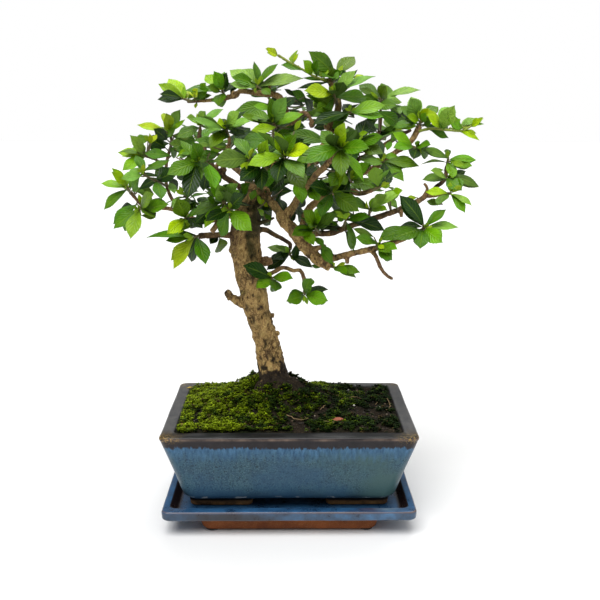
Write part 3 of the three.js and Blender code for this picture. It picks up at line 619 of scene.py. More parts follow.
def makeTrayGlaze():
    material, tree, shader = newMaterial("trayGlaze", Coat_Weight=0.2, Coat_Roughness=0.12,
                                         Specular_IOR_Level=0.35)
    marks = addMottle(tree, *tray["mottle"])
    broad = addMottle(tree, *tray["broadMottle"])
    patches = marks["Patches"]
    top = mixColor(tree, patches, tray["deepBlue"], tray["blue"])
    top = mixColor(tree, times(tree, marks["Specks"], tray["paleSpecks"]), top, tray["paleBlue"])
    side = mixColor(tree, patches, tray["brown"], tray["paleBlue"])
    brownSide = mixColor(tree, patches, tray["brown"], tray["dimBlue"])
    side = mixColor(tree, readMask(tree, "brownSide"), side, brownSide)
    worn = times(tree, readMask(tree, "wear"), ramp(tree, broad["Patches"], 0, 0.6, 0.45, 1.0), clamp=True)
    color = layered(tree, top, (readMask(tree, "outerWall"), side),
                    (readMask(tree, "brownTop"), tray["topBrown"]),
                    (readMask(tree, "wellWall"), tray["wellBrown"]),
                    (times(tree, readMask(tree, "scuffed"), patches), tray["scuff"]),
                    (worn, tray["wornLine"]))
    plug(tree, shader.inputs["Base Color"], color)
    plug(tree, shader.inputs["Roughness"], ramp(tree, patches, 0, 1, *tray["roughness"]))
    addBump(tree, shader, marks["Height"], *tray["bump"])
    return material


def makeTray():
    halfX, halfY = tray["half"]
    footX, footY = tray["foot"]
    wellX, wellY = halfX - tray["sideRim"], halfY - tray["rim"]
    corner, markCorner = tray["corner"], tray["markCorner"]
    underZ, topZ, footZ = tray["underZ"], tray["topZ"], tray["footZ"]
    footRing = lambda grow, z: (footX + grow, footY + grow, tray["footCorner"] + grow / 2, z)
    rimRing = lambda inset, radius, z: (halfX - inset, halfY - inset, radius, z)
    wellRing = lambda inset, z: (wellX - inset, wellY - inset, corner, z)
    profile = softProfile([
        footRing(0, footZ), footRing(0.8, footZ + 0.8), footRing(2.4, underZ - 2.4), footRing(3.4, underZ),
        rimRing(4.6, 6, underZ), rimRing(1.2, 4.6, underZ + 0.2), rimRing(0.2, 4.2, underZ + 1.3),
        rimRing(0, corner, topZ - 0.8), rimRing(0.8, corner, topZ), wellRing(0, topZ - 0.4),
        wellRing(3.6, tray["floorZ"]), wellRing(20, tray["floorZ"])], reach=0.7, spacing=2.0)
    points, faces = lofted([roundedRing(*ring) for ring in profile])
    clay = makeClay("trayClay", tray["clay"], tray["darkClay"], tray["shadedFrom"])
    piece = makePiece("tray_body", points, faces, [makeTrayGlaze(), clay], ["tray"])
    recess = [footX - tray["footWall"], footY - tray["footWall"], 3]
    combine(piece, [roundedRing(*recess, z, 6, 4) for z in (footZ - 1, tray["recessZ"])], "DIFFERENCE")
    mesh = piece.data
    unsettle(mesh, **tray["unsettled"])
    smoothByAngle(mesh, tray["smoothBelow"])
    points = readPoints(mesh)
    for face in mesh.polygons:
        x, y, z = np.array(face.center) / mm
        face.material_index = 1 if z < underZ - 0.5 and abs(x) < footX + 6 and abs(y) < footY + 6 else 0
    # where the looks change, as shares at each corner, with distances in mm
    along, deep, height = points.T
    addMask(mesh, "wear", 1.2 * nearRim(points, halfX, halfY, markCorner, topZ - 0.4, 0.6)
            + 0.8 * nearRim(points, halfX - 3, halfY - 3, 7, underZ + 0.3, 0.6)
            * np.clip(0.5 + 2 * noiseAt(points, 20, 5.0), 0, 1))
    addMask(mesh, "outerWall", np.clip((topZ - 0.7 - height) / 0.8, 0, 1)
            * (offOutline(points, halfX, halfY, markCorner) > -3.5))
    wavy = along + 14 * noiseAt(points, *tray["brownWave"])
    middle, reach = tray["brownSide"]
    addMask(mesh, "brownSide", np.clip(1.6 - np.abs(wavy - middle) / reach, 0, 0.95))
    frontRim = (deep < -halfY + 9) * (height > topZ - 1.4)
    patch, scuffed = [np.exp(-(((along - middle) / reach) ** 4)) * frontRim
                      for middle, reach in (tray["brownTop"], tray["scuffed"])]
    addMask(mesh, "brownTop", patch * np.clip(0.8 + noiseAt(points, 3, 2.0), 0, 1))
    addMask(mesh, "scuffed", scuffed)
    inward = -offOutline(points, wellX, wellY, corner)
    addMask(mesh, "wellWall", (inward > -0.3) * (inward < 5) * (height > underZ + 1)
            * (np.abs(along) > halfX - 12) * 1.0)


makeTray()
print("tray made")

# the pot: sloping walls, an upright lip, four feet and two drain holes
pot = {
    "footZ": 11.9,
    "underZ": 19.0,
    "floorZ": 25.5,
    "insideTopZ": 62.0,
    "edgeZ": 61.6,
    "topZ": 63.8,
    "half": (78.0, 56.8),
    "baseHalf": (66.2, 45.7),
    "rim": 8.0,
    "lipCorner": 4.6,
    "insideCorner": 3.5,
    "wall": 7.0,
    "footHalf": (20.0, 7.0),
    "footPlace": (42.5, 31),
    "drainRadius": 5.0,
    "drainX": 30,
    "drainSides": 32,
    # above this level in m the feet get painted shade under the pot's body
    "shadedFrom": 0.0152,
    "unsettled": {"reach": 0.25, "size": 24, "shift": 7.0},
    "smoothBelow": 45,
    "mottle": (140.0, 1700.0, 0.54),
    "broadMottle": (30.0, 900.0, 0.57),
    "runs": (520.0, 55.0),
    "bump": (0.3, 0.0005),
    "roughness": (0.28, 0.46),
    # where the glaze changes and where painted glints end, as (level in m, softness, waviness, scale) and
    # how far it is drawn out
    "lowestBelow": (0.0245, 0.006, 0.006, 90.0),
    "glintsBelow": (0.0212, 0.0006, 0.003, 200.0),
    "fringeAbove": (0.0505, 0.009, 0.017, 420.0, 0.10),
    "bandAbove": (0.0560, 0.0012, 0.0085, 520.0, 0.08),
    "bodyDark": (0.010, 0.028, 0.048),
    "bodyTeal": (0.036, 0.092, 0.116),
    "bodyBlue": (0.018, 0.062, 0.125),
    "run": (0.052, 0.116, 0.140),
    "speck": (0.11, 0.20, 0.25),
    "darkSpeck": (0.006, 0.014, 0.024),
    "lowest": (0.010, 0.025, 0.043),
    "bluer": (0.022, 0.072, 0.140),
    "greener": (0.046, 0.098, 0.098),
    "fringeDark": (0.020, 0.070, 0.145),
    "fringe": (0.062, 0.165, 0.290),
    "band": (0.010, 0.008, 0.010),
    "bandPale": (0.022, 0.018, 0.020),
    "rimTop": (0.042, 0.043, 0.046),
    "rimPale": (0.100, 0.097, 0.094),
    "rimSpeck": (0.030, 0.034, 0.040),
    # painted shade: the rim's top near-black towards the front
    "rimFrontShade": (0.006, 0.0065, 0.007),
    # painted glints: a broken pale line near the bottom edge
    "glint": (0.20, 0.23, 0.25),
    "paleCorner": (0.085, 0.125, 0.145),
    "worn": (0.150, 0.105, 0.080),
    "gilt": (0.520, 0.330, 0.080),
    "clay": (0.330, 0.170, 0.060),
    "darkClay": (0.018, 0.012, 0.010),
}


def potInside(z, inset=0.0):
    share = (z - pot["floorZ"]) / (pot["insideTopZ"] - pot["floorZ"])
    sizes = []
    for base, half in zip(pot["baseHalf"], pot["half"]):
        low = base - pot["wall"]
        sizes.append(low + (half - pot["rim"] - 1 - low) * share - inset)
    return sizes


# fine streaks that run down a wall, 0 to 1
def addStreaks(tree, across, down):
    place = addNode(tree, "ShaderNodeTexCoord").outputs["Object"]
    waves = addNoise(tree, scaled(tree, place, (across, across, down)), 1.0, 4.0, 0.65)
    return ramp(tree, waves, 0.35, 0.65)


def makePotGlaze():
    material, tree, shader = newMaterial("potGlaze", Coat_Weight=0.08, Coat_Roughness=0.15,
                                         Specular_IOR_Level=0.24)
    marks = addMottle(tree, *pot["mottle"])
    broad = addMottle(tree, *pot["broadMottle"])
    runs = addStreaks(tree, *pot["runs"])
    patches = marks["Patches"]
    low = addLevel(tree, *pot["lowestBelow"])
    body = layered(tree, mixColor(tree, patches, pot["bodyDark"], pot["bodyTeal"]),
                   (times(tree, broad["Patches"], 0.5), pot["bodyBlue"]),
                   (times(tree, runs, 0.6), pot["run"]),
                   (times(tree, marks["Specks"], 0.45), pot["speck"]),
                   (times(tree, broad["Specks"], 0.75), pot["darkSpeck"]),
                   (math2(tree, "SUBTRACT", 1.0, low), pot["lowest"]),
                   (readMask(tree, "bluer"), pot["bluer"]),
                   (readMask(tree, "greener"), pot["greener"]))
    fringe = mixColor(tree, runs, pot["fringeDark"], pot["fringe"])
    band = mixColor(tree, patches, pot["band"], pot["bandPale"])
    # the rim's top, darker towards the front as painted shade
    top = layered(tree, mixColor(tree, patches, pot["rimTop"], pot["rimPale"]),
                  (times(tree, broad["Specks"], 0.6), pot["rimSpeck"]),
                  (readMask(tree, "frontRim"), pot["rimFrontShade"]))
    # painted glints in a broken pale line near the bottom
    lowest = math2(tree, "SUBTRACT", 1.0, addLevel(tree, *pot["glintsBelow"]))
    worn = times(tree, readMask(tree, "wear"), ramp(tree, patches, 0, 0.8, 0.25, 1.0), clamp=True)
    color = layered(tree, body,
                    (times(tree, addLevel(tree, *pot["fringeAbove"]), 0.9), fringe),
                    (addLevel(tree, *pot["bandAbove"]), band),
                    (readMask(tree, "rimTop"), top),
                    (times(tree, lowest, ramp(tree, patches, 0.62, 0.8)), pot["glint"]),
                    (readMask(tree, "paleCorner"), pot["paleCorner"]),
                    (worn, pot["worn"]),
                    (times(tree, readMask(tree, "gilt"), marks["Specks"]), pot["gilt"]))
    plug(tree, shader.inputs["Base Color"], color)
    plug(tree, shader.inputs["Roughness"], ramp(tree, patches, 0, 1, *pot["roughness"]))
    addBump(tree, shader, marks["Height"], *pot["bump"])
    return material


def makePot():
    halfX, halfY = pot["half"]
    baseX, baseY = pot["baseHalf"]
    underZ, edgeZ, topZ = pot["underZ"], pot["edgeZ"], pot["topZ"]
    corner = pot["lipCorner"]
    baseRing = lambda inset, radius, z: (baseX - inset, baseY - inset, radius, z)
    rimRing = lambda inset, radius, z: (halfX - inset, halfY - inset, radius, z)
    profile = softProfile([
        baseRing(5, 8, underZ), baseRing(1.4, 9, underZ + 0.6), baseRing(0, 9, underZ + 2.5),
        rimRing(0.6, corner, edgeZ - 1.2), rimRing(0, corner, edgeZ), rimRing(0.3, 4.4, edgeZ + 1.2),
        rimRing(1.4, 4, topZ - 0.3), rimRing(pot["rim"], 3, topZ),
        *((*potInside(z), pot["insideCorner"], z) for z in (pot["insideTopZ"], pot["floorZ"]))],
        reach=0.6, spacing=2.2)
    points, faces = lofted([roundedRing(*ring) for ring in profile])
    clay = makeClay("potClay", pot["clay"], pot["darkClay"], pot["shadedFrom"])
    piece = makePiece("pot_body", points, faces, [makePotGlaze(), clay], ["pot"])
    footX, footY = pot["footHalf"]
    for signX in (-1, 1):
        for signY in (-1, 1):
            rings = softProfile([(footX - 1.4, footY - 1.4, 3, pot["footZ"]),
                                 (footX - 0.6, footY - 0.6, 3.4, pot["footZ"] + 0.8),
                                 (footX + 0.5, footY + 0.5, 4, underZ + 2)], reach=0.5, spacing=2.0)
            shift = (signX * pot["footPlace"][0], signY * pot["footPlace"][1], 0)
            combine(piece, [np.array(roundedRing(*ring, 6, 5)) + shift for ring in rings], "UNION")
        angles = np.arange(pot["drainSides"]) * 2 * math.pi / pot["drainSides"]
        ends = (pot["drainRadius"] + 0.4, underZ - 2), (pot["drainRadius"], pot["floorZ"] + 2)
        combine(piece, [[(signX * pot["drainX"] + r * math.cos(a), r * math.sin(a), z) for a in angles]
                        for r, z in ends], "DIFFERENCE")
    mesh = piece.data
    unsettle(mesh, **pot["unsettled"])
    smoothByAngle(mesh, pot["smoothBelow"])
    points = readPoints(mesh)
    for face in mesh.polygons:
        face.material_index = 1 if face.center.z / mm < underZ + 0.35 else 0
    # where the looks change, as shares at each corner, with distances in mm
    x, y, z = points.T
    offCorner = np.hypot(np.abs(x) - halfX + 1, np.abs(y) - halfY + 1)
    flecks = np.clip(0.7 + 1.4 * noiseAt(points, 5, 4.0), 0, 1.3)
    addMask(mesh, "wear", 1.1 * nearRim(points, halfX, halfY, corner, edgeZ + 0.3, 0.75) * flecks)
    addMask(mesh, "gilt", np.exp(-(offCorner / 7) ** 2) * np.clip((z - edgeZ + 2.5) / 2, 0, 1))
    addMask(mesh, "rimTop", np.clip((z - edgeZ - 1.0) / 0.5, 0, 1)
            * (offOutline(points, halfX, halfY, corner) > -9.5))
    # painted shade: the rim's top darker towards the front
    addMask(mesh, "frontRim", np.clip((-y - halfY + pot["rim"] + 0.6) / 0.5, 0, 1)
            * np.clip(0.95 + noiseAt(points, 9, 1.5), 0, 1))
    lower = np.clip((46 - z) / 16, 0, 1)
    addMask(mesh, "bluer", np.clip(0.2 * lower + 1.1 * noiseAt(points, 22, 9.5, 4), 0, 0.5) * (z < 58))
    addMask(mesh, "greener", np.clip((x - 5) / 45, 0, 1)
            * np.clip(0.6 + 1.2 * noiseAt(points, 22, 5.5), 0, 0.9))
    share = (z - underZ) / (edgeZ - underZ)
    edge = np.hypot(np.abs(x) - (baseX + (halfX - baseX) * share) + 1.6,
                    np.abs(y) - (baseY + (halfY - baseY) * share) + 1.6)
    addMask(mesh, "paleCorner", np.exp(-(edge / 1.3) ** 2) * (x < 0) * (z < 54) * (z > underZ + 2)
            * np.clip(0.5 + noiseAt(points, 6, 2.0), 0, 0.8))


makePot()
print("pot made")

# the plastic net over the drain holes
net = {
    "half": (44, 10),
    "z": 25.8,
    "thick": 0.9,
    "bar": 1.1,
    "opening": 2.9,
    "mottle": (200.0, 2500.0, 0.5),
    "bump": (0.2, 0.0002),
    "color": (0.020, 0.026, 0.020),
    "pale": (0.034, 0.042, 0.034),
}


def makeNet():
    material, tree, shader = newMaterial("netPlastic", Roughness=0.5)
    marks = addMottle(tree, *net["mottle"])
    plug(tree, shader.inputs["Base Color"], mixColor(tree, marks["Patches"], net["color"], net["pale"]))
    addBump(tree, shader, marks["Height"], *net["bump"])
    pitch = net["bar"] + net["opening"]
    edges = []
    for half in net["half"]:
        count = int((2 * half - net["bar"]) // pitch)
        start = -(count * pitch + net["bar"]) / 2
        edges.append([start + k * pitch + side for k in range(count + 1) for side in (0, net["bar"])])
    columns = len(edges[0])
    points = [(x, y, net["z"]) for y in edges[1] for x in edges[0]]
    faces = []
    for j in range(len(edges[1]) - 1):
        for i in range(columns - 1):
            if i % 2 == 0 or j % 2 == 0:
                a = j * columns + i
                faces.append((a, a + 1, a + 1 + columns, a + columns))
    piece = makePiece("net_strip", points, faces, [material], ["drain_net"], smooth=False)
    shapeWith(piece, "SOLIDIFY", thickness=net["thick"] * mm, offset=1)


makeNet()
print("net made")

# the soil: a fine lumpy surface over the pot's filling, mounded round the trunk
soil = {
    "edgeZ": 62.6,
    "moundRise": 23.7,
    "moundSpread": (25, 19),
    "moundX": -10.5,
    "cell": 0.8,
    "lump": 1.5,
    # noises as (size, shift, octaves)
    "lumpNoise": (7.0, 0.7, 5),
    "crumbNoise": (2.2, 9.1, 3),
    "mottle": (260.0, 2200.0, 0.57),
    "bump": (0.8, 0.0008),
    "tanSpecks": 0.7,
    "corner": 3.4,
    "dark": (0.0035, 0.0027, 0.002),
    "brown": (0.020, 0.014, 0.008),
    "tan": (0.075, 0.052, 0.030),
    "mossShade": (0.006, 0.011, 0.002),
    "wallLevels": (55.0, 45.0, 27.1),
}


def soilHeight(x, y):
    across = (x - soil["moundX"]) / soil["moundSpread"][0]
    deep = y / soil["moundSpread"][1]
    return soil["edgeZ"] + soil["moundRise"] * np.exp(-(across ** 2 + deep ** 2) / 2)


def lumpiness(points):
    return soil["lump"] * (noiseAt(points, *soil["lumpNoise"]) + 0.5 * noiseAt(points, *soil["crumbNoise"]))


# how much the lumps lift each point, less and less towards the pot's wall
def lumpLift(points, halfX, halfY, corner):
    edge = np.clip(-offOutline(points, halfX, halfY, corner) / 4, 0, 1)
    return lumpiness(points) * (0.3 + 0.7 * edge) - 0.3 * (1 - edge)


# moves a point of a square corner onto the round one
def roundCorner(x, y, halfX, halfY, radius):
    insideX, insideY = abs(x) - (halfX - radius), abs(y) - (halfY - radius)
    if insideX <= 0 or insideY <= 0:
        return x, y
    a, b = insideX / radius, insideY / radius
    return (math.copysign(halfX - radius + radius * a * math.sqrt(1 - b * b / 2), x),
            math.copysign(halfY - radius + radius * b * math.sqrt(1 - a * a / 2), y))


def makeSoilMaterial():
    material, tree, shader = newMaterial("darkSoil", Roughness=0.95, Specular_IOR_Level=0.15)
    marks = addMottle(tree, *soil["mottle"])
    color = layered(tree, mixColor(tree, marks["Patches"], soil["dark"], soil["brown"]),
                    (times(tree, marks["Specks"], soil["tanSpecks"]), soil["tan"]),
                    (readMask(tree, "mossy"), soil["mossShade"]))
    plug(tree, shader.inputs["Base Color"], color)
    addBump(tree, shader, marks["Height"], *soil["bump"])
    return material


def makeSoil():
    halfX, halfY = potInside(soil["edgeZ"], 0.1)
    countX, countY = round(2 * halfX / soil["cell"]), round(2 * halfY / soil["cell"])
    flat = []
    for j in range(countY + 1):
        for i in range(countX + 1):
            x, y = halfX * (2 * i / countX - 1), halfY * (2 * j / countY - 1)
            flat.append(roundCorner(x, y, halfX, halfY, soil["corner"]))
    flat = np.array(flat)
    points = np.column_stack([flat, soilHeight(flat[:, 0], flat[:, 1])])
    points[:, 2] += lumpLift(points, halfX, halfY, soil["corner"])
    columns = countX + 1
    faces = [(j * columns + i, j * columns + i + 1, (j + 1) * columns + i + 1, (j + 1) * columns + i)
             for j in range(countY) for i in range(countX)]
    border = list(range(columns)) + [j * columns + countX for j in range(1, countY + 1)]
    border += [countY * columns + i for i in range(countX - 1, -1, -1)]
    border += [j * columns for j in range(countY - 1, 0, -1)]
    above = border
    points = points.tolist()
    for z in soil["wallLevels"]:
        lowX, lowY = potInside(z, 0.4)
        below = list(range(len(points), len(points) + len(border)))
        points += [(flat[at][0] * lowX / halfX, flat[at][1] * lowY / halfY, z) for at in border]
        for k in range(len(border)):
            following = (k + 1) % len(border)
            faces.append((above[k], below[k], below[following], above[following]))
        above = below
    faces.append(tuple(reversed(above)))
    piece = makePiece("soil_fill", points, faces, [makeSoilMaterial()], ["soil"])
    addMask(piece.data, "mossy", np.clip(mossCover(np.array(points)) - 0.2, 0, 0.8))


# where moss grows: thick on the left and behind the trunk, thin on the right and bare round the trunk
moss = {
    "seed": 40,
    "tufts": 6300,
    "tries": 3.4,
    # how much each thing adds to the cover, or takes away round the trunk
    "cover": {"all": 0.30, "left": 0.62, "behind": 0.45, "trunk": 0.75, "patches": 0.85},
    "blades": 7,
    "length": (1.2, 2.3),
    "shorter": (0.75, 1.1),
    "width": 0.74,
    "astray": 0.25,
    "rise": (0.25, 1.15),
    "ridge": 0.16,
    "sag": 0.12,
    "cushion": 1.9,
    "raise": 1.2,
    "dimming": (500.0, 3000.0, 0.55),
    # how much each thing adds to a tuft's light, or takes away towards the right and in the dim place
    "light": {"all": 0.5, "patches": 0.9, "rightward": 0.012, "cover": 0.25, "behind": 0.75,
              "corner": 0.45, "dim": 0.6, "spread": 0.27},
    "jitter": (0.6, 1.4),
    "offTrunk": 8.0,
    "bright": (0.185, 0.255, 0.006),
    "middle": (0.048, 0.090, 0.004),
    "dark": (0.010, 0.024, 0.003),
    "brown": (0.090, 0.062, 0.020),
    "withered": 0.05,
    # painted shade at each blade's base and a painted highlight at its tip
    "cornerLightAndShade": [0.05, 0.62, 0.62, 1.6],  # base, left, right, tip
    # noises as (size, shift, octaves)
    "patchNoise": (11.0, 2.3, 4),
    "gapNoise": (3.4, 8.2, 3),
    "lightNoise": (9.0, 5.5, 3),
    "gaps": (-0.16, 0.25),
    # where the thick moss on the left ends, as x and spread
    "leftEnd": (-2, 22),
    # places as (x, y) and spreads; the bare one counts from the trunk
    "bare": ((4, -2), (13, 10)),
    "backStrip": ((22, 32), (18, 16)),
    "raised": ((21, 34), (14, 14)),
    "lightCorner": ((52, 36), (14, 9)),
    "dimPlace": ((-7.5, -3), (15, 13)),
}


def mossCover(points):
    x, y = points[:, 0], points[:, 1]
    end, spread = moss["leftEnd"]
    side = 0.5 - 0.5 * np.tanh((x - end) / spread)
    backStrip = spot(x, y, *moss["backStrip"])
    (bareX, bareY), (spreadX, spreadY) = moss["bare"]
    bare = np.exp(-(((x - soil["moundX"] - bareX) / spreadX) ** 2 + ((y - bareY) / spreadY) ** 2) ** 2)
    patches = noiseAt(points * (1, 1, 0), *moss["patchNoise"])
    cover = moss["cover"]
    return np.clip(cover["all"] + cover["left"] * side + cover["behind"] * backStrip - cover["trunk"] * bare
                   + cover["patches"] * patches, 0, 1)


# a tuft is a star of thin pointed leaves, each a closed body of four faces
def growMoss(name, seed, material):
    rng = np.random.default_rng(seed)
    halfX, halfY = potInside(soil["edgeZ"], 1.2)
    tries = int(moss["tufts"] * moss["tries"])
    roots = np.column_stack([rng.uniform(-halfX, halfX, tries), rng.uniform(-halfY, halfY, tries),
                             np.zeros(tries)])
    cover = mossCover(roots)
    kept = (rng.random(tries) < cover ** 1.6) & (offOutline(roots, halfX, halfY, 3) < 0)
    kept &= np.hypot(roots[:, 0] - soil["moundX"], roots[:, 1]) > moss["offTrunk"]
    kept &= noiseAt(roots, *moss["gapNoise"]) > moss["gaps"][0] - moss["gaps"][1] * cover
    roots, cover = roots[kept][:moss["tufts"]], cover[kept][:moss["tufts"]]
    roots[:, 2] = soilHeight(roots[:, 0], roots[:, 1])
    roots[:, 2] += lumpLift(roots, halfX, halfY, 3)
    height = rng.random(len(roots))
    roots[:, 2] += moss["cushion"] * cover * (0.3 + 1.2 * height)
    x, y = roots[:, 0], roots[:, 1]
    shares = moss["light"]
    light = shares["all"] + shares["patches"] * noiseAt(roots, *moss["lightNoise"])
    light = light - shares["rightward"] * (x + 10) + shares["cover"] * (cover - 0.5)
    behind = spot(x, y, *moss["raised"])
    roots[:, 2] += moss["raise"] * behind
    light += (shares["behind"] * behind + shares["corner"] * spot(x, y, *moss["lightCorner"])
              - shares["dim"] * spot(x, y, *moss["dimPlace"]))
    light = np.clip(light + rng.normal(0, shares["spread"], len(roots)), 0, 1)[:, None]
    dark, middle, bright = (np.array(moss[shade]) for shade in ("dark", "middle", "bright"))
    tones = np.where(light < 0.5, dark * (1 - 2 * light) + middle * 2 * light,
                     middle * (2 - 2 * light) + bright * (2 * light - 1))
    # low tufts painted darker and high ones lighter: painted shade among the tufts
    tones *= (0.22 + 1.35 * height ** 1.3)[:, None]
    withered = rng.random(len(roots)) < moss["withered"]
    tones[withered] = moss["brown"]
    blades = moss["blades"]
    turn = rng.uniform(0, 2 * math.pi, (len(roots), 1)) + np.arange(blades) * 2 * math.pi / blades
    turn = turn + rng.normal(0, moss["astray"], turn.shape)
    rise = rng.uniform(*moss["rise"], turn.shape)
    reach = rng.uniform(*moss["length"], (len(roots), 1)) * rng.uniform(*moss["shorter"], turn.shape)
    reach = reach[..., None]
    ahead = np.stack([np.cos(turn) * np.cos(rise), np.sin(turn) * np.cos(rise), np.sin(rise)], -1)
    side = np.stack([-np.sin(turn), np.cos(turn), np.zeros(turn.shape)], -1)
    over = np.cross(ahead, side)
    base = roots[:, None, :] + ahead * 0.1
    half = moss["width"] / 2 * reach / 1.4
    left = base + ahead * reach * 0.5 - side * half + over * moss["ridge"]
    right = base + ahead * reach * 0.5 + side * half + over * moss["ridge"]
    tip = base + ahead * reach - np.array((0, 0, moss["sag"])) * reach
    corners = np.stack([base, left, right, tip], 2).reshape(-1, 3)
    starts = np.arange(len(corners) // 4)[:, None] * 4
    faces = np.concatenate([starts + order for order in ((0, 3, 1), (0, 2, 3), (0, 1, 2), (1, 3, 2))])
    piece = makePiece(name, corners, faces.tolist(), [material], smooth=False)
    jitter = rng.uniform(*moss["jitter"], (len(roots), blades, 1, 1))
    # each blade's corners get painted shade at the base and painted light at the tip
    full = tones[:, None, None, :] * jitter * np.array(moss["cornerLightAndShade"])[None, None, :, None]
    addTones(piece.data, "tone", full.reshape(-1, 3))


makeSoil()
print("soil filled in")
mossMaterial, *_ = makeTonedMaterial("moss", *moss["dimming"], Roughness=0.6, Specular_IOR_Level=0.1)
for number in (1, 2):
    growMoss("moss_%d" % number, moss["seed"] + number, mossMaterial)
print("moss grown")


# the tree on the upright plane through the trunk, as [x, z, depth, radius] in mm: depth moves a place
# along the line of sight, so that it stays where the photograph shows it
trunk = [
    [-11.5, 58, 0, 12], [-11, 72, 0, 13], [-10.8, 82, 0, 11.6], [-11.3, 90, 0, 9.2],
    [-13.2, 100, 0, 8.2], [-17, 117, 0, 7.6], [-21, 130, 0, 8.2], [-24, 147, 0, 9], [-26, 159, 0, 9.3],
    [-28, 176, 0, 9.8], [-26, 190, 0, 8.6], [-22.5, 203, -1, 5.2]]

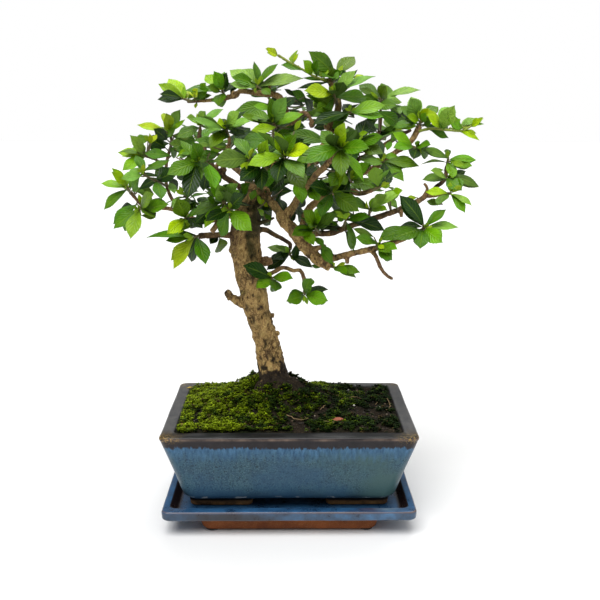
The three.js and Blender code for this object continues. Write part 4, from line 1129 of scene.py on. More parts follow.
limbs = {
    "descending": [[-23, 202, 0, 4.4], [-14.8, 201, -7, 2.5], [-6.2, 191, -14, 2.7], [-4, 187, -16, 3.8],
        [2.5, 180.3, -18, 3.9], [9.7, 170.4, -21, 3.8], [18, 162, -24, 3.7], [22.9, 159.4, -26, 3.5],
        [26.5, 156.8, -27, 3]],
    "rising": [[-4, 187, -16, 3.2], [3.8, 197.5, -13, 2.3], [7, 206, -10, 2.2], [14, 222, -2, 2.2],
        [25, 239, 6, 2.4], [26, 245, 8, 2.8], [29, 252, 9, 2.3], [30, 259, 9, 2.3], [24, 273, 8, 1.6]],
    "leader": [[-24, 198, 0, 6], [-14, 212, 6, 3.6], [-9, 226, 10, 3], [-8, 237, 11, 2.7],
        [1.2, 247, 9, 2.2], [9.3, 252.7, 6, 1.6], [12.8, 249.4, 4, 1.1], [14, 246.3, 3, 0.9]],
    "topLeft": [[-8, 237, 11, 2.4], [-2, 250, 14, 2.2], [-6, 262, 16, 2], [-20.3, 264.6, 18, 1.8],
        [-30, 265.5, 20, 1.7], [-33.6, 263.3, 21, 2.1], [-41, 261, 22, 1.4], [-62.3, 259.2, 26, 1.1]],
    "topLeftStub": [[-12, 262, 17, 1.3], [-12, 269.5, 18, 1]],
    "upperLeft": [[-24, 203, 0, 3.2], [-31.7, 208, -6, 1.9], [-46.3, 218.3, -14, 1.7], [-50, 226, -10, 1.5],
        [-55.5, 237.5, -2, 1.4], [-54.7, 243.4, 1, 1.2]],
    "upperLeftSide": [[-46.3, 218.3, -14, 1.4], [-37, 234.7, -24, 1.2], [-39, 242, -28, 1.1]],
    "lowerLeft": [[-20, 202, -2, 3.6], [-24, 202.8, -9, 2.5], [-29.5, 197.8, -14, 2.4],
        [-36.8, 196, -18, 2.3], [-40.6, 191.5, -20, 2.2], [-43, 187.4, -22, 2.1], [-49, 179, -26, 1.7]],
    "trunkLeft": [[-29, 176, 0, 3.4], [-37.7, 177, -4, 2], [-45.5, 177.2, -8, 1.8], [-57, 176.8, -14, 1.9]],
    "farLeft": [[-43, 187.4, -22, 1.9], [-56, 186, -14, 1.5], [-66, 190.8, -6, 1.4], [-75.5, 193.8, 0, 1.4],
        [-88, 195, 6, 1.3], [-93, 197, 8, 1.3], [-99, 204, 10, 1.2]],
    "farLeftRise": [[-66, 190.8, -6, 1.4], [-72.5, 198.5, 6, 1.2], [-76.5, 209, 16, 1.2],
        [-76, 222, 24, 1.1], [-72, 236.4, 30, 1]],
    "behind": [[-25, 178, 0, 3], [-16.4, 180.8, 6, 1.7], [-9.5, 177.5, 12, 1.6], [0.7, 171, 16, 1.4],
        [0, 167.5, 17, 1.2]],
    "bridge": [[-22, 184, -3, 1.6], [-14.5, 186, -9, 1.1], [-9.5, 188.3, -12, 0.9]],
    "lowTwig": [[-20, 151, -3, 2.2], [-12, 152.6, -9, 1.5], [-3.7, 156.5, -14, 1.4], [3, 154.4, -18, 1.3],
        [7, 154.8, -20, 1.3], [9.8, 147, -22, 1.3], [9.5, 142.5, -22, 1.1]],
    "cutStub": [[-24, 131.5, -1, 3.8], [-32.5, 134.5, -2, 3.1], [-39.7, 139.5, -3, 2]],
    "upperRight": [[6, 175, -19.5, 3], [8, 181.5, -17, 2.4], [11.5, 192.6, -13, 2.3], [20, 200.5, -10, 2.2],
        [29.8, 206, -9, 2.1], [41.7, 214.7, -6, 2], [54.5, 220.2, -2, 1.9], [64, 227.6, 0, 1.8],
        [75.5, 236, 3, 1.7], [80.3, 245, 5, 1.9]],
    "secondRight": [[36, 210.5, -8, 1.9], [40.5, 223, 4, 1.8], [49.6, 227.4, 12, 1.6],
        [58.7, 233.2, 18, 1.6], [68.6, 239.2, 22, 1.4], [75, 242.6, 24, 1.1]],
    "darkStem": [[47.5, 227, 10, 1.5], [52, 234, 18, 1.3], [55.8, 243.7, 26, 1.2], [56, 258, 30, 1.1]],
    "lowerRight": [[9, 171, -20.5, 3], [14, 177.5, -20, 2.2], [26.3, 178.5, -24, 1.9],
        [37.4, 182.6, -27, 1.8], [51.7, 187.3, -28, 1.8], [70, 193.8, -24, 1.7], [83.3, 200.3, -19, 1.6],
        [91, 207, -14, 1.4], [97, 212.5, -10, 1.3], [97.9, 221, -8, 1.3]],
    "lowerRightSide": [[87, 201.8, -17.5, 1.3], [95.3, 203, -22, 1.1], [98.5, 203.4, -24, 1.1]],
    "deadStub": [[70, 193.8, -24, 1.4], [70.5, 188.6, -26, 1]],
    "hookStub": [[84, 201, -19, 1.3], [86.4, 206.6, -22, 1], [84, 209.8, -23, 0.9]],
    "bottomRight": [[19, 162, -24.5, 3.4], [28.4, 162.7, -30, 2.1], [40.4, 165.7, -34, 1.9],
        [50.8, 168, -38, 1.9], [60, 170.8, -39, 1.8], [70, 174, -38, 1.6], [84, 180.6, -34, 1.4]],
    "shortStub": [[36.7, 164, -32.5, 1.5], [36.7, 159, -34, 1.2]],
    "innerStub": [[14, 168, -22.5, 2], [23, 170.4, -26, 1.2]],
    "bareTwig": [[50.8, 168, -38, 1.6], [54.2, 164.8, -40, 1.4], [58.2, 156, -43, 1.2],
        [62.6, 151, -45, 1.1], [66, 149.2, -45, 0.9]],
    "frontLeft": [[-19, 205, -3, 3.2], [-14, 212, -24, 2], [-8, 219, -44, 1.6], [-4, 223.5, -55, 1.2]],
    "frontRight": [[4, 199, -13, 2.2], [14, 212, -32, 1.9], [24, 222, -48, 1.6], [30.5, 228.5, -57, 1.2]],
    "frontFarLeft": [[-46.3, 218.3, -14, 1.5], [-50, 222, -30, 1.3], [-54, 222, -40, 1.1]],
    "frontFarRight": [[31, 206.5, -8.5, 1.8], [44, 203.5, -34, 1.5], [52, 205.5, -50, 1.2]],
    "backLeft": [[-21, 204, 2, 3.4], [-28, 214, 26, 2.2], [-40, 224, 46, 1.7], [-46, 229, 54, 1.2]],
    "backCentre": [[-9, 226, 10, 2.6], [-4, 236, 30, 1.9], [4, 243, 46, 1.5], [6, 245, 53, 1.2]],
    "backRight": [[14, 222, -2, 2.2], [30, 228, 22, 1.8], [44, 233, 40, 1.5], [52, 234.5, 50, 1.2]],
    "backLowRight": [[7, 205, -10, 2.1], [18, 205, 14, 1.9], [32, 206, 34, 1.6], [42, 205, 46, 1.2]],
    "backLowLeft": [[-27, 180, 3, 3], [-34, 188, 24, 2.1], [-46, 192, 40, 1.7], [-52, 194, 49, 1.2]],
}

wood = {
    "voxel": 0.68,
    "spacing": 2.0,
    "roots": 6,
    "rootKeys": (700, 701),
    "rootStart": (-10.8, 0),
    "rootReach": (23, 6),
    "rootCourse": [(0.1, 84, 7), (0.45, 77, 5), (0.75, 69.5, 3.4), (1, 64, 2)],  # (share, z, radius)
    "knobShape": [(-0.9, 0.4), (-0.5, 0.85), (0, 1), (0.5, 0.85), (0.9, 0.4)],  # (height, radius)
    "knobs": [(-14.5, 161, -3, 3.4), (-11.4, 125, -2, 1.9), (-8.4, 113.5, -1, 1.7), (-30.5, 150, -3, 2.2),
              (-15.5, 96, -3, 2.0), (-35.5, 168, 0, 2.6), (-38.5, 138.5, -3, 3.0), (26, 245, 8, 4.2),
              (-33.6, 263.3, 21, 2.8), (-41.5, 218, -12, 2.4), (14, 246, 3, 2.0), (-17, 203, -2, 5.4)],
    "tan": (0.430, 0.280, 0.092),
    "pale": (0.680, 0.490, 0.190),
    "brown": (0.185, 0.102, 0.045),
    "pink": (0.300, 0.165, 0.100),
    "pit": (0.020, 0.012, 0.009),
    "twig": (0.230, 0.130, 0.065),
    "green": (0.018, 0.022, 0.005),
    "pits": [(-19, 130.5, -7, 2.0), (-15.8, 126, -7, 1.5), (-39.5, 138.5, -3, 2.6), (-13, 119, -7, 1.2)],
    "sapwood": (-33, 140, -6),
    # stains as (strength, (x, z), spreads)
    "stains": [(1.4, (-18, 192), (8, 14)), (1.0, (-24.5, 174), (3, 9))],
    # the bark's noises as (size, shift, octaves), and how much of each goes into its relief
    "plateNoise": (3.4, 1.7, 4),
    "ridgeNoise": (5.5, 6.1, 3),
    "pitNoise": (2.4, 3.9, 2),
    "swellNoise": (11.0, 8.8, 2),
    "lumpNoise": (2.6, 3.3, 3),
    "knobNoise": (2.8, 12.3, 2),
    "plates": 0.75,
    "ridges": 0.45,
    "pitDepth": 1.2,
    # shares of the radius, each with its least and its most in mm
    "depth": (0.085, 0.10, 0.62),
    "lumps": (0.12, 0.15, 0.45),
    "broadMottle": (75.0, 420.0, 0.56),
    "fineMottle": (420.0, 1500.0, 0.52),
    "scaleStreaks": (1100.0, 420.0),
    "bendScale": 160.0,
    "bendReach": 0.011,
    "crackScale": 330.0,
    "crackWidth": (0.02, 0.11),
    "bump": (0.9, 0.0012),
    "roughness": (0.7, 0.95),
    "scale": (0.110, 0.058, 0.028),
    "crack": (0.060, 0.030, 0.014),
    "twigDark": (0.075, 0.040, 0.022),
    "twigPale": (0.38, 0.24, 0.13),
    "shade": (0.050, 0.028, 0.018),
    "bareWood": (0.62, 0.47, 0.15),
    "earth": (0.008, 0.006, 0.005),
    "shaded": ["behind", "darkStem", "lowerRight", "bridge", "backLeft", "backCentre", "backRight",
               "backLowLeft", "backLowRight", "trunkLeft", "secondRight", "upperLeft"],
}


def rootPlaces():
    courses = []
    turnKey, reachKey = wood["rootKeys"]
    for index in range(wood["roots"]):
        angle = 2 * math.pi * (index + 0.5 + 0.5 * chance(turnKey, index)) / wood["roots"]
        reach = wood["rootReach"][0] + wood["rootReach"][1] * chance(reachKey, index)
        courses.append([(wood["rootStart"][0] + reach * share * math.cos(angle), z,
                         reach * share * math.sin(angle), radius)
                        for share, z, radius in wood["rootCourse"]])
    return courses


def makeBark():
    material, tree, shader = newMaterial("bark", Specular_IOR_Level=0.2)
    broad = addMottle(tree, *wood["broadMottle"])
    fine = addMottle(tree, *wood["fineMottle"])
    scales = addStreaks(tree, *wood["scaleStreaks"])
    place = addNode(tree, "ShaderNodeTexCoord").outputs["Object"]
    bent = addNode(tree, "ShaderNodeTexNoise", {"Vector": place, "Scale": wood["bendScale"], "Detail": 3.0})
    shifted = scaled(tree, bent.outputs["Color"], (wood["bendReach"],) * 3)
    warped = addNode(tree, "ShaderNodeVectorMath", {0: place, 1: shifted}, operation="ADD").outputs[0]
    toEdge = addNode(tree, "ShaderNodeTexVoronoi", {"Vector": scaled(tree, warped, (1, 1, 0.6)),
                                                    "Scale": wood["crackScale"]},
                     feature="DISTANCE_TO_EDGE")
    cracks = times(tree, ramp(tree, toEdge.outputs["Distance"], *wood["crackWidth"], 1.0, 0.0),
                   ramp(tree, broad["Patches"], 0.2, 0.8))
    relief = readMask(tree, "relief")
    thin = mixColor(tree, fine["Patches"], wood["twigDark"], wood["twig"])
    thin = mixColor(tree, times(tree, fine["Specks"], 0.5), thin, wood["twigPale"])
    color = layered(tree, mixColor(tree, times(tree, broad["Patches"], 0.45), wood["tan"], wood["brown"]),
                    (times(tree, fine["Patches"], 0.3), wood["pink"]),
                    (times(tree, fine["Specks"], 0.5), wood["pale"]),
                    (ramp(tree, scales, 0.55, 0.95, 0.0, 0.75), wood["scale"]),
                    (times(tree, cracks, 0.8), wood["crack"]),
                    (ramp(tree, relief, 0.2, 0.9, 0.0, 0.5), wood["pale"]),
                    (ramp(tree, relief, -0.45, -1.2, 0.0, 0.85), wood["pit"]),
                    (readMask(tree, "thin"), thin),
                    (readMask(tree, "shaded"), wood["shade"]),
                    (readMask(tree, "stained"), wood["green"]),
                    (readMask(tree, "split"), wood["pit"]),
                    (readMask(tree, "sapwood"), wood["bareWood"]),
                    (readMask(tree, "soiled"), wood["earth"]))
    plug(tree, shader.inputs["Base Color"], color)
    plug(tree, shader.inputs["Roughness"], ramp(tree, fine["Patches"], 0, 1, *wood["roughness"]))
    addBump(tree, shader, math2(tree, "SUBTRACT", fine["Height"], times(tree, cracks, 0.5)), *wood["bump"])
    return material


def makeWood():
    points, faces, cores, shaded = [], [], [], []
    for course in [trunk, *rootPlaces(), *limbs.values()]:
        places = [alongSight(x, z, y) for x, z, y, _ in course]
        curve, radii = smoothCurve(places, [place[3] for place in course], wood["spacing"])
        addTube(points, faces, curve, radii, 20 if radii[0] > 5 else 12)
        cores += [(centre, radius) for centre, radius in zip(curve, radii)]
        dark = any(course is limbs[name] for name in wood["shaded"])
        shaded += [dark * min(1, step / 8) for step in range(len(curve))]
    for x, z, y, size in wood["knobs"]:
        centre = alongSight(x, z, y)
        curve = np.array([centre + (0, 0, size * step) for step, _ in wood["knobShape"]])
        addTube(points, faces, curve, [size * share for _, share in wood["knobShape"]], 12)
    piece = makePiece("wood_tree", points, faces, [makeBark()], ["wood"])
    shapeWith(piece, "REMESH", mode="VOXEL", voxel_size=wood["voxel"] * mm)
    mesh = piece.data
    points = readPoints(mesh)
    normals = readPoints(mesh, "normal")
    tree = KDTree(len(cores))
    for index, (centre, _) in enumerate(cores):
        tree.insert(centre, index)
    tree.balance()
    nearest = [tree.find(point)[1] for point in points]
    radius = np.array([cores[index][1] for index in nearest])
    stretched = points * (1, 1, 0.55)
    plates = noiseAt(stretched, *wood["plateNoise"])
    ridges = 1 - 4 * np.abs(noiseAt(stretched, *wood["ridgeNoise"]))
    pits = np.clip(noiseAt(stretched, *wood["pitNoise"]) * 3.6 - 1.15, 0, 1)
    relief = np.clip(wood["plates"] * plates + wood["ridges"] * ridges, -1, 1) - wood["pitDepth"] * pits
    depth, lumps = (np.clip(share * radius, least, most)
                    for share, least, most in (wood["depth"], wood["lumps"]))
    swell = 0.10 * radius * noiseAt(points, *wood["swellNoise"])
    swell += lumps * noiseAt(points, *wood["lumpNoise"])
    for x, z, y, size in wood["knobs"]:
        on = disc(points, alongSight(x, z, y), 1.35 * size)
        swell += 0.6 * size * on * noiseAt(points, *wood["knobNoise"])
    setPoints(mesh, points + normals * (depth * relief + swell)[:, None])
    mesh.shade_smooth()
    addMask(mesh, "relief", relief)
    addMask(mesh, "thin", np.clip((2.6 - radius) / 1.2, 0, 1)
            * np.clip(0.7 + noiseAt(points, 9, 2.2), 0.2, 0.9))
    addMask(mesh, "shaded", np.array([shaded[index] for index in nearest])
            * np.clip(0.65 + 0.6 * noiseAt(points, 6, 4.4), 0.2, 0.9))
    fork, lower = (share * spot(points[:, 0], points[:, 2], *place) for share, *place in wood["stains"])
    stain = fork + lower * (points[:, 1] < 0)
    addMask(mesh, "stained", np.clip(1.1 * stain + 0.8 * noiseAt(points, 6, 5.0) - 0.12, 0, 0.88))
    split = sum(disc(points, alongSight(x, z, y), size) for x, z, y, size in wood["pits"])
    addMask(mesh, "split", np.clip(split * (1.1 + 2 * noiseAt(points, 2, 4.0)), 0, 0.95))
    patch = np.linalg.norm(points - alongSight(*wood["sapwood"]), axis=1)
    addMask(mesh, "sapwood", np.clip((2.6 - patch) + 3 * noiseAt(points, 2, 7.0), 0, 0.8))
    above = points[:, 2] - soilHeight(points[:, 0], points[:, 1])
    addMask(mesh, "soiled", np.clip((12.0 - above + 10 * noiseAt(points, 4, 1.1)) / 4, 0, 0.95))
    return tree


woodPlaces = makeWood()
print("wood grown")

# each spray: a shoot as [x, z, depth]; leaves as [place on the shoot, tip x, tip z, width], with one letter
# each for their tones; a number of ruled leaves, which stand round the shoot by the golden angle; and more
# leaves, which the solids leave out, as [base x, base z, tip x, tip z, width, depth, tone]
sprays = {
    "apexShoot": {"stem": [[24, 271, 8.2], [14.6, 274.7, 4], [8, 278.5, 2], [1.3, 282, 0],
        [-6.8, 286.8, -2]],
        "leaves": [[4, -14.3, 290.6, 5.5], [3, 4.3, 289.6, 4], [2, -5, 281.2, 4],
        [1, 17, 284, 5]], "tones": "ylmm",
        "more": [[14, 275, 8.5, 284, 6, 5, "l"], [20, 273.5, 15.5, 278.5, 6, 8, "l"],
        [21, 273, 23.5, 279.5, 5, 4, "l"], [24, 271, 5, 267.3, 3, 3, "d"],
        [24.5, 272, 8, 273.5, 2.5, 12, "m"], [2, 281.5, 5.5, 288, 2, -1, "y"],
        [-7, 287, -13.5, 288.3, 3.5, -2, "y"]]},
    "apexCrown": {"stem": [[25, 269, 8.4], [28.5, 275, 14]],
        "leaves": [[1, 11.7, 289.2, 10], [1, 11, 280.5, 8], [1, 39.5, 286.2, 9],
        [1, 31.5, 277.5, 5]], "ruled": 2, "tones": "moom",
        "more": [[28, 276, 35.5, 276.5, 3.5, 12, "d"], [26, 272, 32, 277.5, 3.5, 6, "p"],
        [27, 271, 24, 280, 6, 16, "o"], [25.5, 270, 33.5, 272, 5, 20, "d"]]},
    "apexFront": {"stem": [[29.6, 257, 8.8], [27, 264, -3]],
        "leaves": [[1, 9.2, 266, 8], [1, 40.5, 278, 7], [1, 52.5, 274.7, 4], [1, 14.5, 256.5, 8],
        [1, 22, 247, 5], [1, 47.5, 262, 8]], "tones": "yppomm",
        "more": [[27.5, 265, 28, 270.8, 2, -4, "y"], [39, 270, 44.8, 275.5, 5, 4, "y"],
        [33, 269, 41.5, 278.5, 3, 8, "d"], [33, 264, 47.5, 260.5, 8, 2, "m"],
        [27, 262.5, 11, 265, 6, 2, "p"], [25, 258.5, 16.5, 253.5, 7, 6, "o"],
        [26, 255, 14, 250.3, 3, 0, "p"], [24, 259, 10.5, 263, 7, 14, "m"], [30, 262, 19, 258, 8, 16, "d"]]},
    "rightCrown": {"stem": [[56, 257, 30], [56, 262, 31]],
        "leaves": [[1, 60.5, 269, 10], [1, 42.5, 269.5, 8], [1, 80.2, 266.6, 4.5], [1, 69, 259.2, 5],
        [1, 45, 259, 6]], "ruled": 1, "tones": "ogppm",
        "more": [[56.5, 261, 59, 269, 8, 27, "o"], [54, 262, 43, 267.5, 4.5, 30, "g"],
        [55, 260.5, 49.5, 265.5, 2, 24, "l"], [58, 261, 66, 263.5, 3, 28, "p"],
        [55, 259, 45, 263, 6, 34, "m"]]},
    "midCrown": {"stem": [[26.6, 246, 8], [37.8, 253.5, -6]],
        "leaves": [[1, 26.5, 243, 6], [1, 57.8, 250.5, 7], [1, 14.5, 245.6, 7],
        [1, 59, 257.5, 8]], "tones": "mbdl",
        "more": [[28, 246, 15, 243.5, 5.5, 12, "d"], [26, 250.5, 20.5, 246.5, 5, -2, "b"],
        [42, 243, 54.5, 249, 6, 16, "d"], [54, 241.5, 43.5, 247, 7, 10, "d"], [54, 254, 68, 246, 8, 4, "m"],
        [55, 250, 69, 251, 6, 12, "d"], [60, 258, 73, 248, 9, 16, "g"], [53, 257, 66, 257, 7, 20, "m"],
        [40, 250, 33, 258, 7, 12, "d"]]},
    "topCrown": {"stem": [[-20.3, 264.6, 18], [-19.4, 269, 15]],
        "leaves": [[1, -21.4, 283.2, 4.5], [1, -7, 281.8, 4.5], [1, 8.5, 273.3, 6.5], [1, -36.3, 270, 6],
        [1, -36.2, 278, 9]], "tones": "mmppp",
        "more": [[-19.5, 269.5, -29, 278.5, 9, 17, "p"], [-16, 271, -3, 275.8, 3, 19, "p"],
        [-17, 267, -11.5, 263.5, 5, 12, "o"], [-20, 269, -35, 274, 7, 20, "m"],
        [-20, 268, -21, 264.5, 2, 12, "y"]]},
    "leftCrown": {"stem": [[-39, 261.6, 21.7], [-41, 266, 18]],
        "leaves": [[1, -51, 275.2, 8], [1, -39.5, 277, 6], [1, -63.5, 266, 4.5], [1, -43.5, 256.6, 6.5],
        [1, -33, 270.5, 5]], "tones": "lmmmd",
        "more": [[-37, 263, -44, 257, 6.5, 20, "m"], [-38, 262.5, -48, 259.5, 4.5, 18, "m"],
        [-41, 266.4, -45.8, 277.4, 7.6, 16, "b"], [-40, 266, -38, 276.5, 6, 20, "d"],
        [-42, 265, -50, 268.5, 5, 15, "o"], [-36, 264, -31, 271, 5, 22, "d"]]},
    "farCrown": {"stem": [[-60, 259.3, 25.5], [-64.2, 260.8, 25]],
        "leaves": [[1, -79.8, 269.8, 7], [1, -80.5, 260.5, 6], [1, -57.5, 267.5, 5], [1, -48.8, 268.4, 6],
        [1, -73, 272.5, 8]], "tones": "ldyml",
        "more": [[-64.5, 262, -73.5, 272.8, 8, 27, "y"], [-66, 261.5, -79, 263.8, 6, 22, "d"],
        [-58, 261, -61.5, 267, 4, 22, "y"], [-58, 261.5, -56, 267.3, 4, 20, "y"],
        [-57, 261.5, -49, 267, 6, 24, "m"], [-60, 260, -47.5, 263.2, 4, 22, "o"],
        [-56.5, 259, -57.5, 255.3, 2, 24, "y"], [-53, 264, -51, 270.5, 5, 26, "l"]]},
    "highLeft": {"stem": [[-55, 241, 0.5], [-54.7, 246, 1]],
        "leaves": [[1, -63, 249.8, 4], [1, -51.8, 253.6, 4.5], [1, -40.5, 254.8, 4.5], [1, -41, 241, 4],
        [1, -69.5, 237.5, 7]], "tones": "ppppg",
        "more": [[-54.3, 245.5, -51.5, 253.5, 4, -2, "p"], [-53, 245, -41.5, 240.8, 3, -3, "p"],
        [-55.5, 243.5, -63, 243.3, 3, 2, "m"], [-54.5, 245, -57.5, 248, 3, -1, "y"],
        [-54.3, 245, -52, 247.5, 3, -3, "y"]]},
    "innerHighLeft": {"stem": [[-38.6, 240, -27], [-39, 244.5, -32]],
        "leaves": [[1, -44.5, 246.6, 4.5], [1, -30.5, 253.3, 6.5], [1, -24, 247.5, 4], [1, -27, 240.5, 6],
        [1, -49, 231, 7]], "tones": "yppdo",
        "more": [[-40, 242.5, -61, 249.6, 4, -30, "p"], [-38.5, 242, -25, 247.8, 3, -34, "p"],
        [-38, 241, -27, 239.5, 4, -26, "d"], [-38, 233, -59, 236.3, 5, -20, "m"],
        [-37, 232.5, -49, 230.5, 7.5, -16, "o"], [-48, 232.5, -57, 233.8, 3, -24, "p"],
        [-36, 231, -33, 240, 6, -14, "d"], [-34, 236, -24, 243.5, 7, -8, "d"],
        [-22, 229, -35, 230.5, 7, -10, "d"], [-24, 232, -35, 238, 8, -4, "d"],
        [-44, 228, -56, 226, 6, -12, "m"], [-38, 240, -43, 236, 5, -28, "m"]]},
    "outerHighLeft": {"stem": [[-72.3, 234, 29.3], [-73.6, 241, 31]],
        "leaves": [[1, -77, 252.5, 7], [1, -66.8, 254.5, 6], [1, -93.5, 245.3, 5], [1, -57.5, 235.5, 9],
        [1, -86, 234, 7]], "ruled": 1, "tones": "ypymd",
        "more": [[-73.5, 242, -75.5, 252.3, 7, 29, "y"], [-72.5, 243, -67.5, 254.3, 6, 34, "p"],
        [-73, 241, -64, 248.5, 3, 28, "l"], [-78, 242.5, -93, 245.2, 4.5, 30, "y"],
        [-71, 239, -61.5, 238.5, 6, 24, "g"], [-63, 231, -74, 234, 6.5, 18, "g"],
        [-74, 234, -87, 232, 8, 22, "d"], [-75, 236, -83.5, 243, 7, 24, "d"],
        [-72, 230, -62, 229, 6, 24, "d"], [-74, 232, -70, 226, 6, 20, "m"],
        [-76, 238, -70, 243, 5, 34, "m"]]},
    "outerLeft": {"stem": [[-76, 221, 23.6], [-84, 224.5, 19], [-90, 226.5, 15]],
        "leaves": [[2, -103.5, 217.5, 7], [2, -106, 228.4, 6], [2, -98, 239, 7], [1, -84, 238.5, 8],
        [1, -79, 212.5, 8]], "ruled": 1, "tones": "llpdm",
        "more": [[-73, 226.5, -89.5, 227.8, 6.5, 12, "m"], [-76, 231, -88, 237.5, 8, 26, "d"],
        [-87, 236, -95, 236.8, 5.5, 20, "p"], [-85.5, 233, -86, 240, 3, 12, "y"],
        [-85.2, 234, -81.5, 239.5, 3, 10, "y"], [-86, 235, -89.5, 239, 3, 14, "y"],
        [-90, 228.3, -103.5, 226, 3, 15, "y"], [-90.5, 229, -97, 231.5, 4, 13, "p"],
        [-94, 229, -95.6, 234.5, 2, 14, "y"], [-89, 226, -100, 219, 4, 18, "l"],
        [-86, 229, -95, 224, 5, 22, "m"]]},
    "midLeft": {"stem": [[-76.5, 208, 15], [-84, 211.5, 0], [-90.5, 214.8, -8]],
        "leaves": [[2, -104.5, 212.3, 6], [2, -95, 227, 6], [1, -74, 219.5, 7],
        [1, -80, 199.5, 8]], "tones": "pmdm",
        "more": [[-91, 217, -74, 223.7, 4.5, -4, "m"], [-80, 213.5, -93, 215.2, 2.5, 8, "d"],
        [-91, 219.5, -101, 213.3, 4.5, -8, "p"], [-93, 214, -97.5, 204, 5, -4, "m"],
        [-82.5, 211, -68.5, 217, 8, 8, "d"], [-76, 213, -69.5, 206, 6, 14, "d"],
        [-74.5, 210, -71.5, 203.2, 5, 10, "p"], [-78, 217, -88, 221, 4, 12, "d"]]},
    "leftTip": {"stem": [[-98.4, 203, 9.8], [-101, 207, 9]],
        "leaves": [[1, -110, 219, 5], [1, -117, 209.5, 5], [1, -116, 193, 6],
        [1, -93, 217.5, 6]], "ruled": 1, "tones": "llmm",
        "more": [[-101, 208, -110.3, 216.5, 6, 6, "l"], [-98, 205, -90, 204.5, 4, 2, "p"],
        [-96, 205, -84.5, 203, 8, 8, "o"], [-94, 205.5, -81.5, 212.8, 5.5, 4, "d"],
        [-99, 206, -95.5, 216, 4.5, 4, "m"], [-100, 204, -104, 209, 4, 10, "y"]]},
    "lowLeft": {"stem": [[-91, 196, 7], [-94, 193.5, -3]],
        "leaves": [[1, -110.5, 181, 7], [1, -100, 174.8, 9], [1, -75.5, 196.5, 7.5], [1, -84, 188, 5],
        [1, -84.5, 203, 7]], "tones": "mlmoo",
        "more": [[-95, 196.5, -110.5, 184, 8, 0, "m"], [-98.5, 192, -103.5, 179.5, 7, -2, "m"],
        [-90, 193, -75.5, 196.5, 7.5, -6, "m"], [-93, 189.5, -84, 188.3, 4, -4, "o"],
        [-93, 196.5, -94, 203, 2.5, 2, "y"], [-91.5, 196, -88.5, 202, 3, 0, "y"],
        [-91, 195, -85.5, 200.5, 3, 2, "o"], [-97, 195, -106, 193, 6, 6, "d"],
        [-74, 195.5, -69.5, 198.8, 4, -6, "p"]]},
    "hangingLeft": {"stem": [[-51, 222, -33], [-53, 224, -43], [-58, 222, -50]],
        "leaves": [[1, -62.5, 205.5, 9], [2, -63.6, 200, 10], [2, -76, 215, 9], [1, -46, 206, 8],
        [2, -60, 235, 8]], "tones": "pdmbm",
        "more": [[-50, 224.5, -67, 222.5, 7, -44, "o"], [-49, 228.5, -66, 227.8, 5, -40, "m"],
        [-70, 225.5, -62, 231, 3, -42, "l"], [-68, 225.5, -61.5, 228, 3, -48, "p"],
        [-72, 222, -66, 219.5, 4, -36, "m"], [-50, 218, -53.5, 204.8, 7, -25, "d"],
        [-45, 213, -54.5, 206, 7, -20, "d"], [-42, 215, -50, 208, 7, -14, "d"],
        [-62, 219, -70, 213, 7, -40, "d"], [-60, 230, -70, 230, 5, -30, "m"]]},
    "underLeft": {"stem": [[-63, 189.3, -8], [-65.6, 187.5, -16]],
        "leaves": [[1, -77, 178, 8], [1, -50, 195.5, 5], [1, -70, 200.5, 11], [1, -54.5, 181.5, 6],
        [1, -58.5, 182, 6]], "tones": "ymodd",
        "more": [[-60, 186, -73.5, 179.3, 7.5, -18, "y"], [-60, 187, -68, 180, 6, -10, "o"],
        [-60.5, 194, -68.5, 197.5, 8, -12, "o"], [-46, 195, -60, 184, 6, -22, "d"],
        [-50, 190, -58, 186, 5, -18, "d"], [-61, 192, -59, 198, 5, -8, "d"]]},
    "bottomLeft": {"stem": [[-56, 176.8, -13.8], [-60.2, 176, -16]],
        "leaves": [[1, -78, 173.5, 6], [1, -90, 175.6, 4.5], [1, -73.5, 155.5, 8], [1, -62, 160, 7],
        [1, -53, 158.5, 9], [1, -66, 166, 7]], "tones": "mmydmm",
        "more": [[-44, 175.5, -43.5, 166.5, 8, -10, "o"], [-58, 177, -76.5, 177.5, 5, -12, "m"],
        [-60, 175, -75, 161, 8, -14, "y"], [-45, 176.5, -50, 171.5, 5, -4, "d"],
        [-60, 174, -70, 165.5, 6, -10, "m"]]},
    "innerLeft": {"stem": [[-38, 195, -18.6], [-41.5, 198, -26]],
        "leaves": [[1, -60.5, 190, 6], [1, -53.5, 181.5, 6], [1, -50, 210, 7], [1, -32, 209.5, 7],
        [1, -41, 182, 8]], "tones": "gbbpd",
        "more": [[-42, 199, -44.5, 208.8, 7, -28, "p"], [-40, 199, -29.5, 204.3, 8, -30, "p"],
        [-46, 197.5, -51.5, 200.8, 4, -24, "m"], [-42, 194.5, -53.3, 182, 4.5, -28, "l"],
        [-44, 193, -58, 183, 5, -20, "d"], [-40, 201, -37, 209, 6, -20, "m"],
        [-43, 200, -50, 205, 6, -16, "d"]]},
    "frontLow": {"stem": [[-33.4, 196.4, -16], [-37.8, 193, -34]],
        "leaves": [[1, -23.6, 180, 11], [1, -43, 176, 8], [1, -52.5, 186, 7],
        [1, -28, 203, 8]], "tones": "bmdd",
        "more": [[-38, 190.5, -30, 180.5, 7, -28, "d"], [-36, 189, -26, 183, 7, -24, "d"],
        [-24.5, 210, -29.8, 204, 6, -30, "m"], [-33, 200, -40, 190, 6, -18, "d"]]},
    "frontLeftFan": {"stem": [[-10.5, 216, -38], [-18, 221.5, -50], [-24.5, 225, -58]],
        "leaves": [[2, -47, 223.3, 10], [2, -33.5, 237.5, 7], [1, -31, 211, 8], [1, -13.5, 236.5, 7],
        [1, -17, 205.5, 8]], "tones": "gmdld",
        "more": [[-26, 224, -46.5, 224, 10.5, -52, "g"], [-25, 223, -29.8, 216.8, 5, -60, "y"],
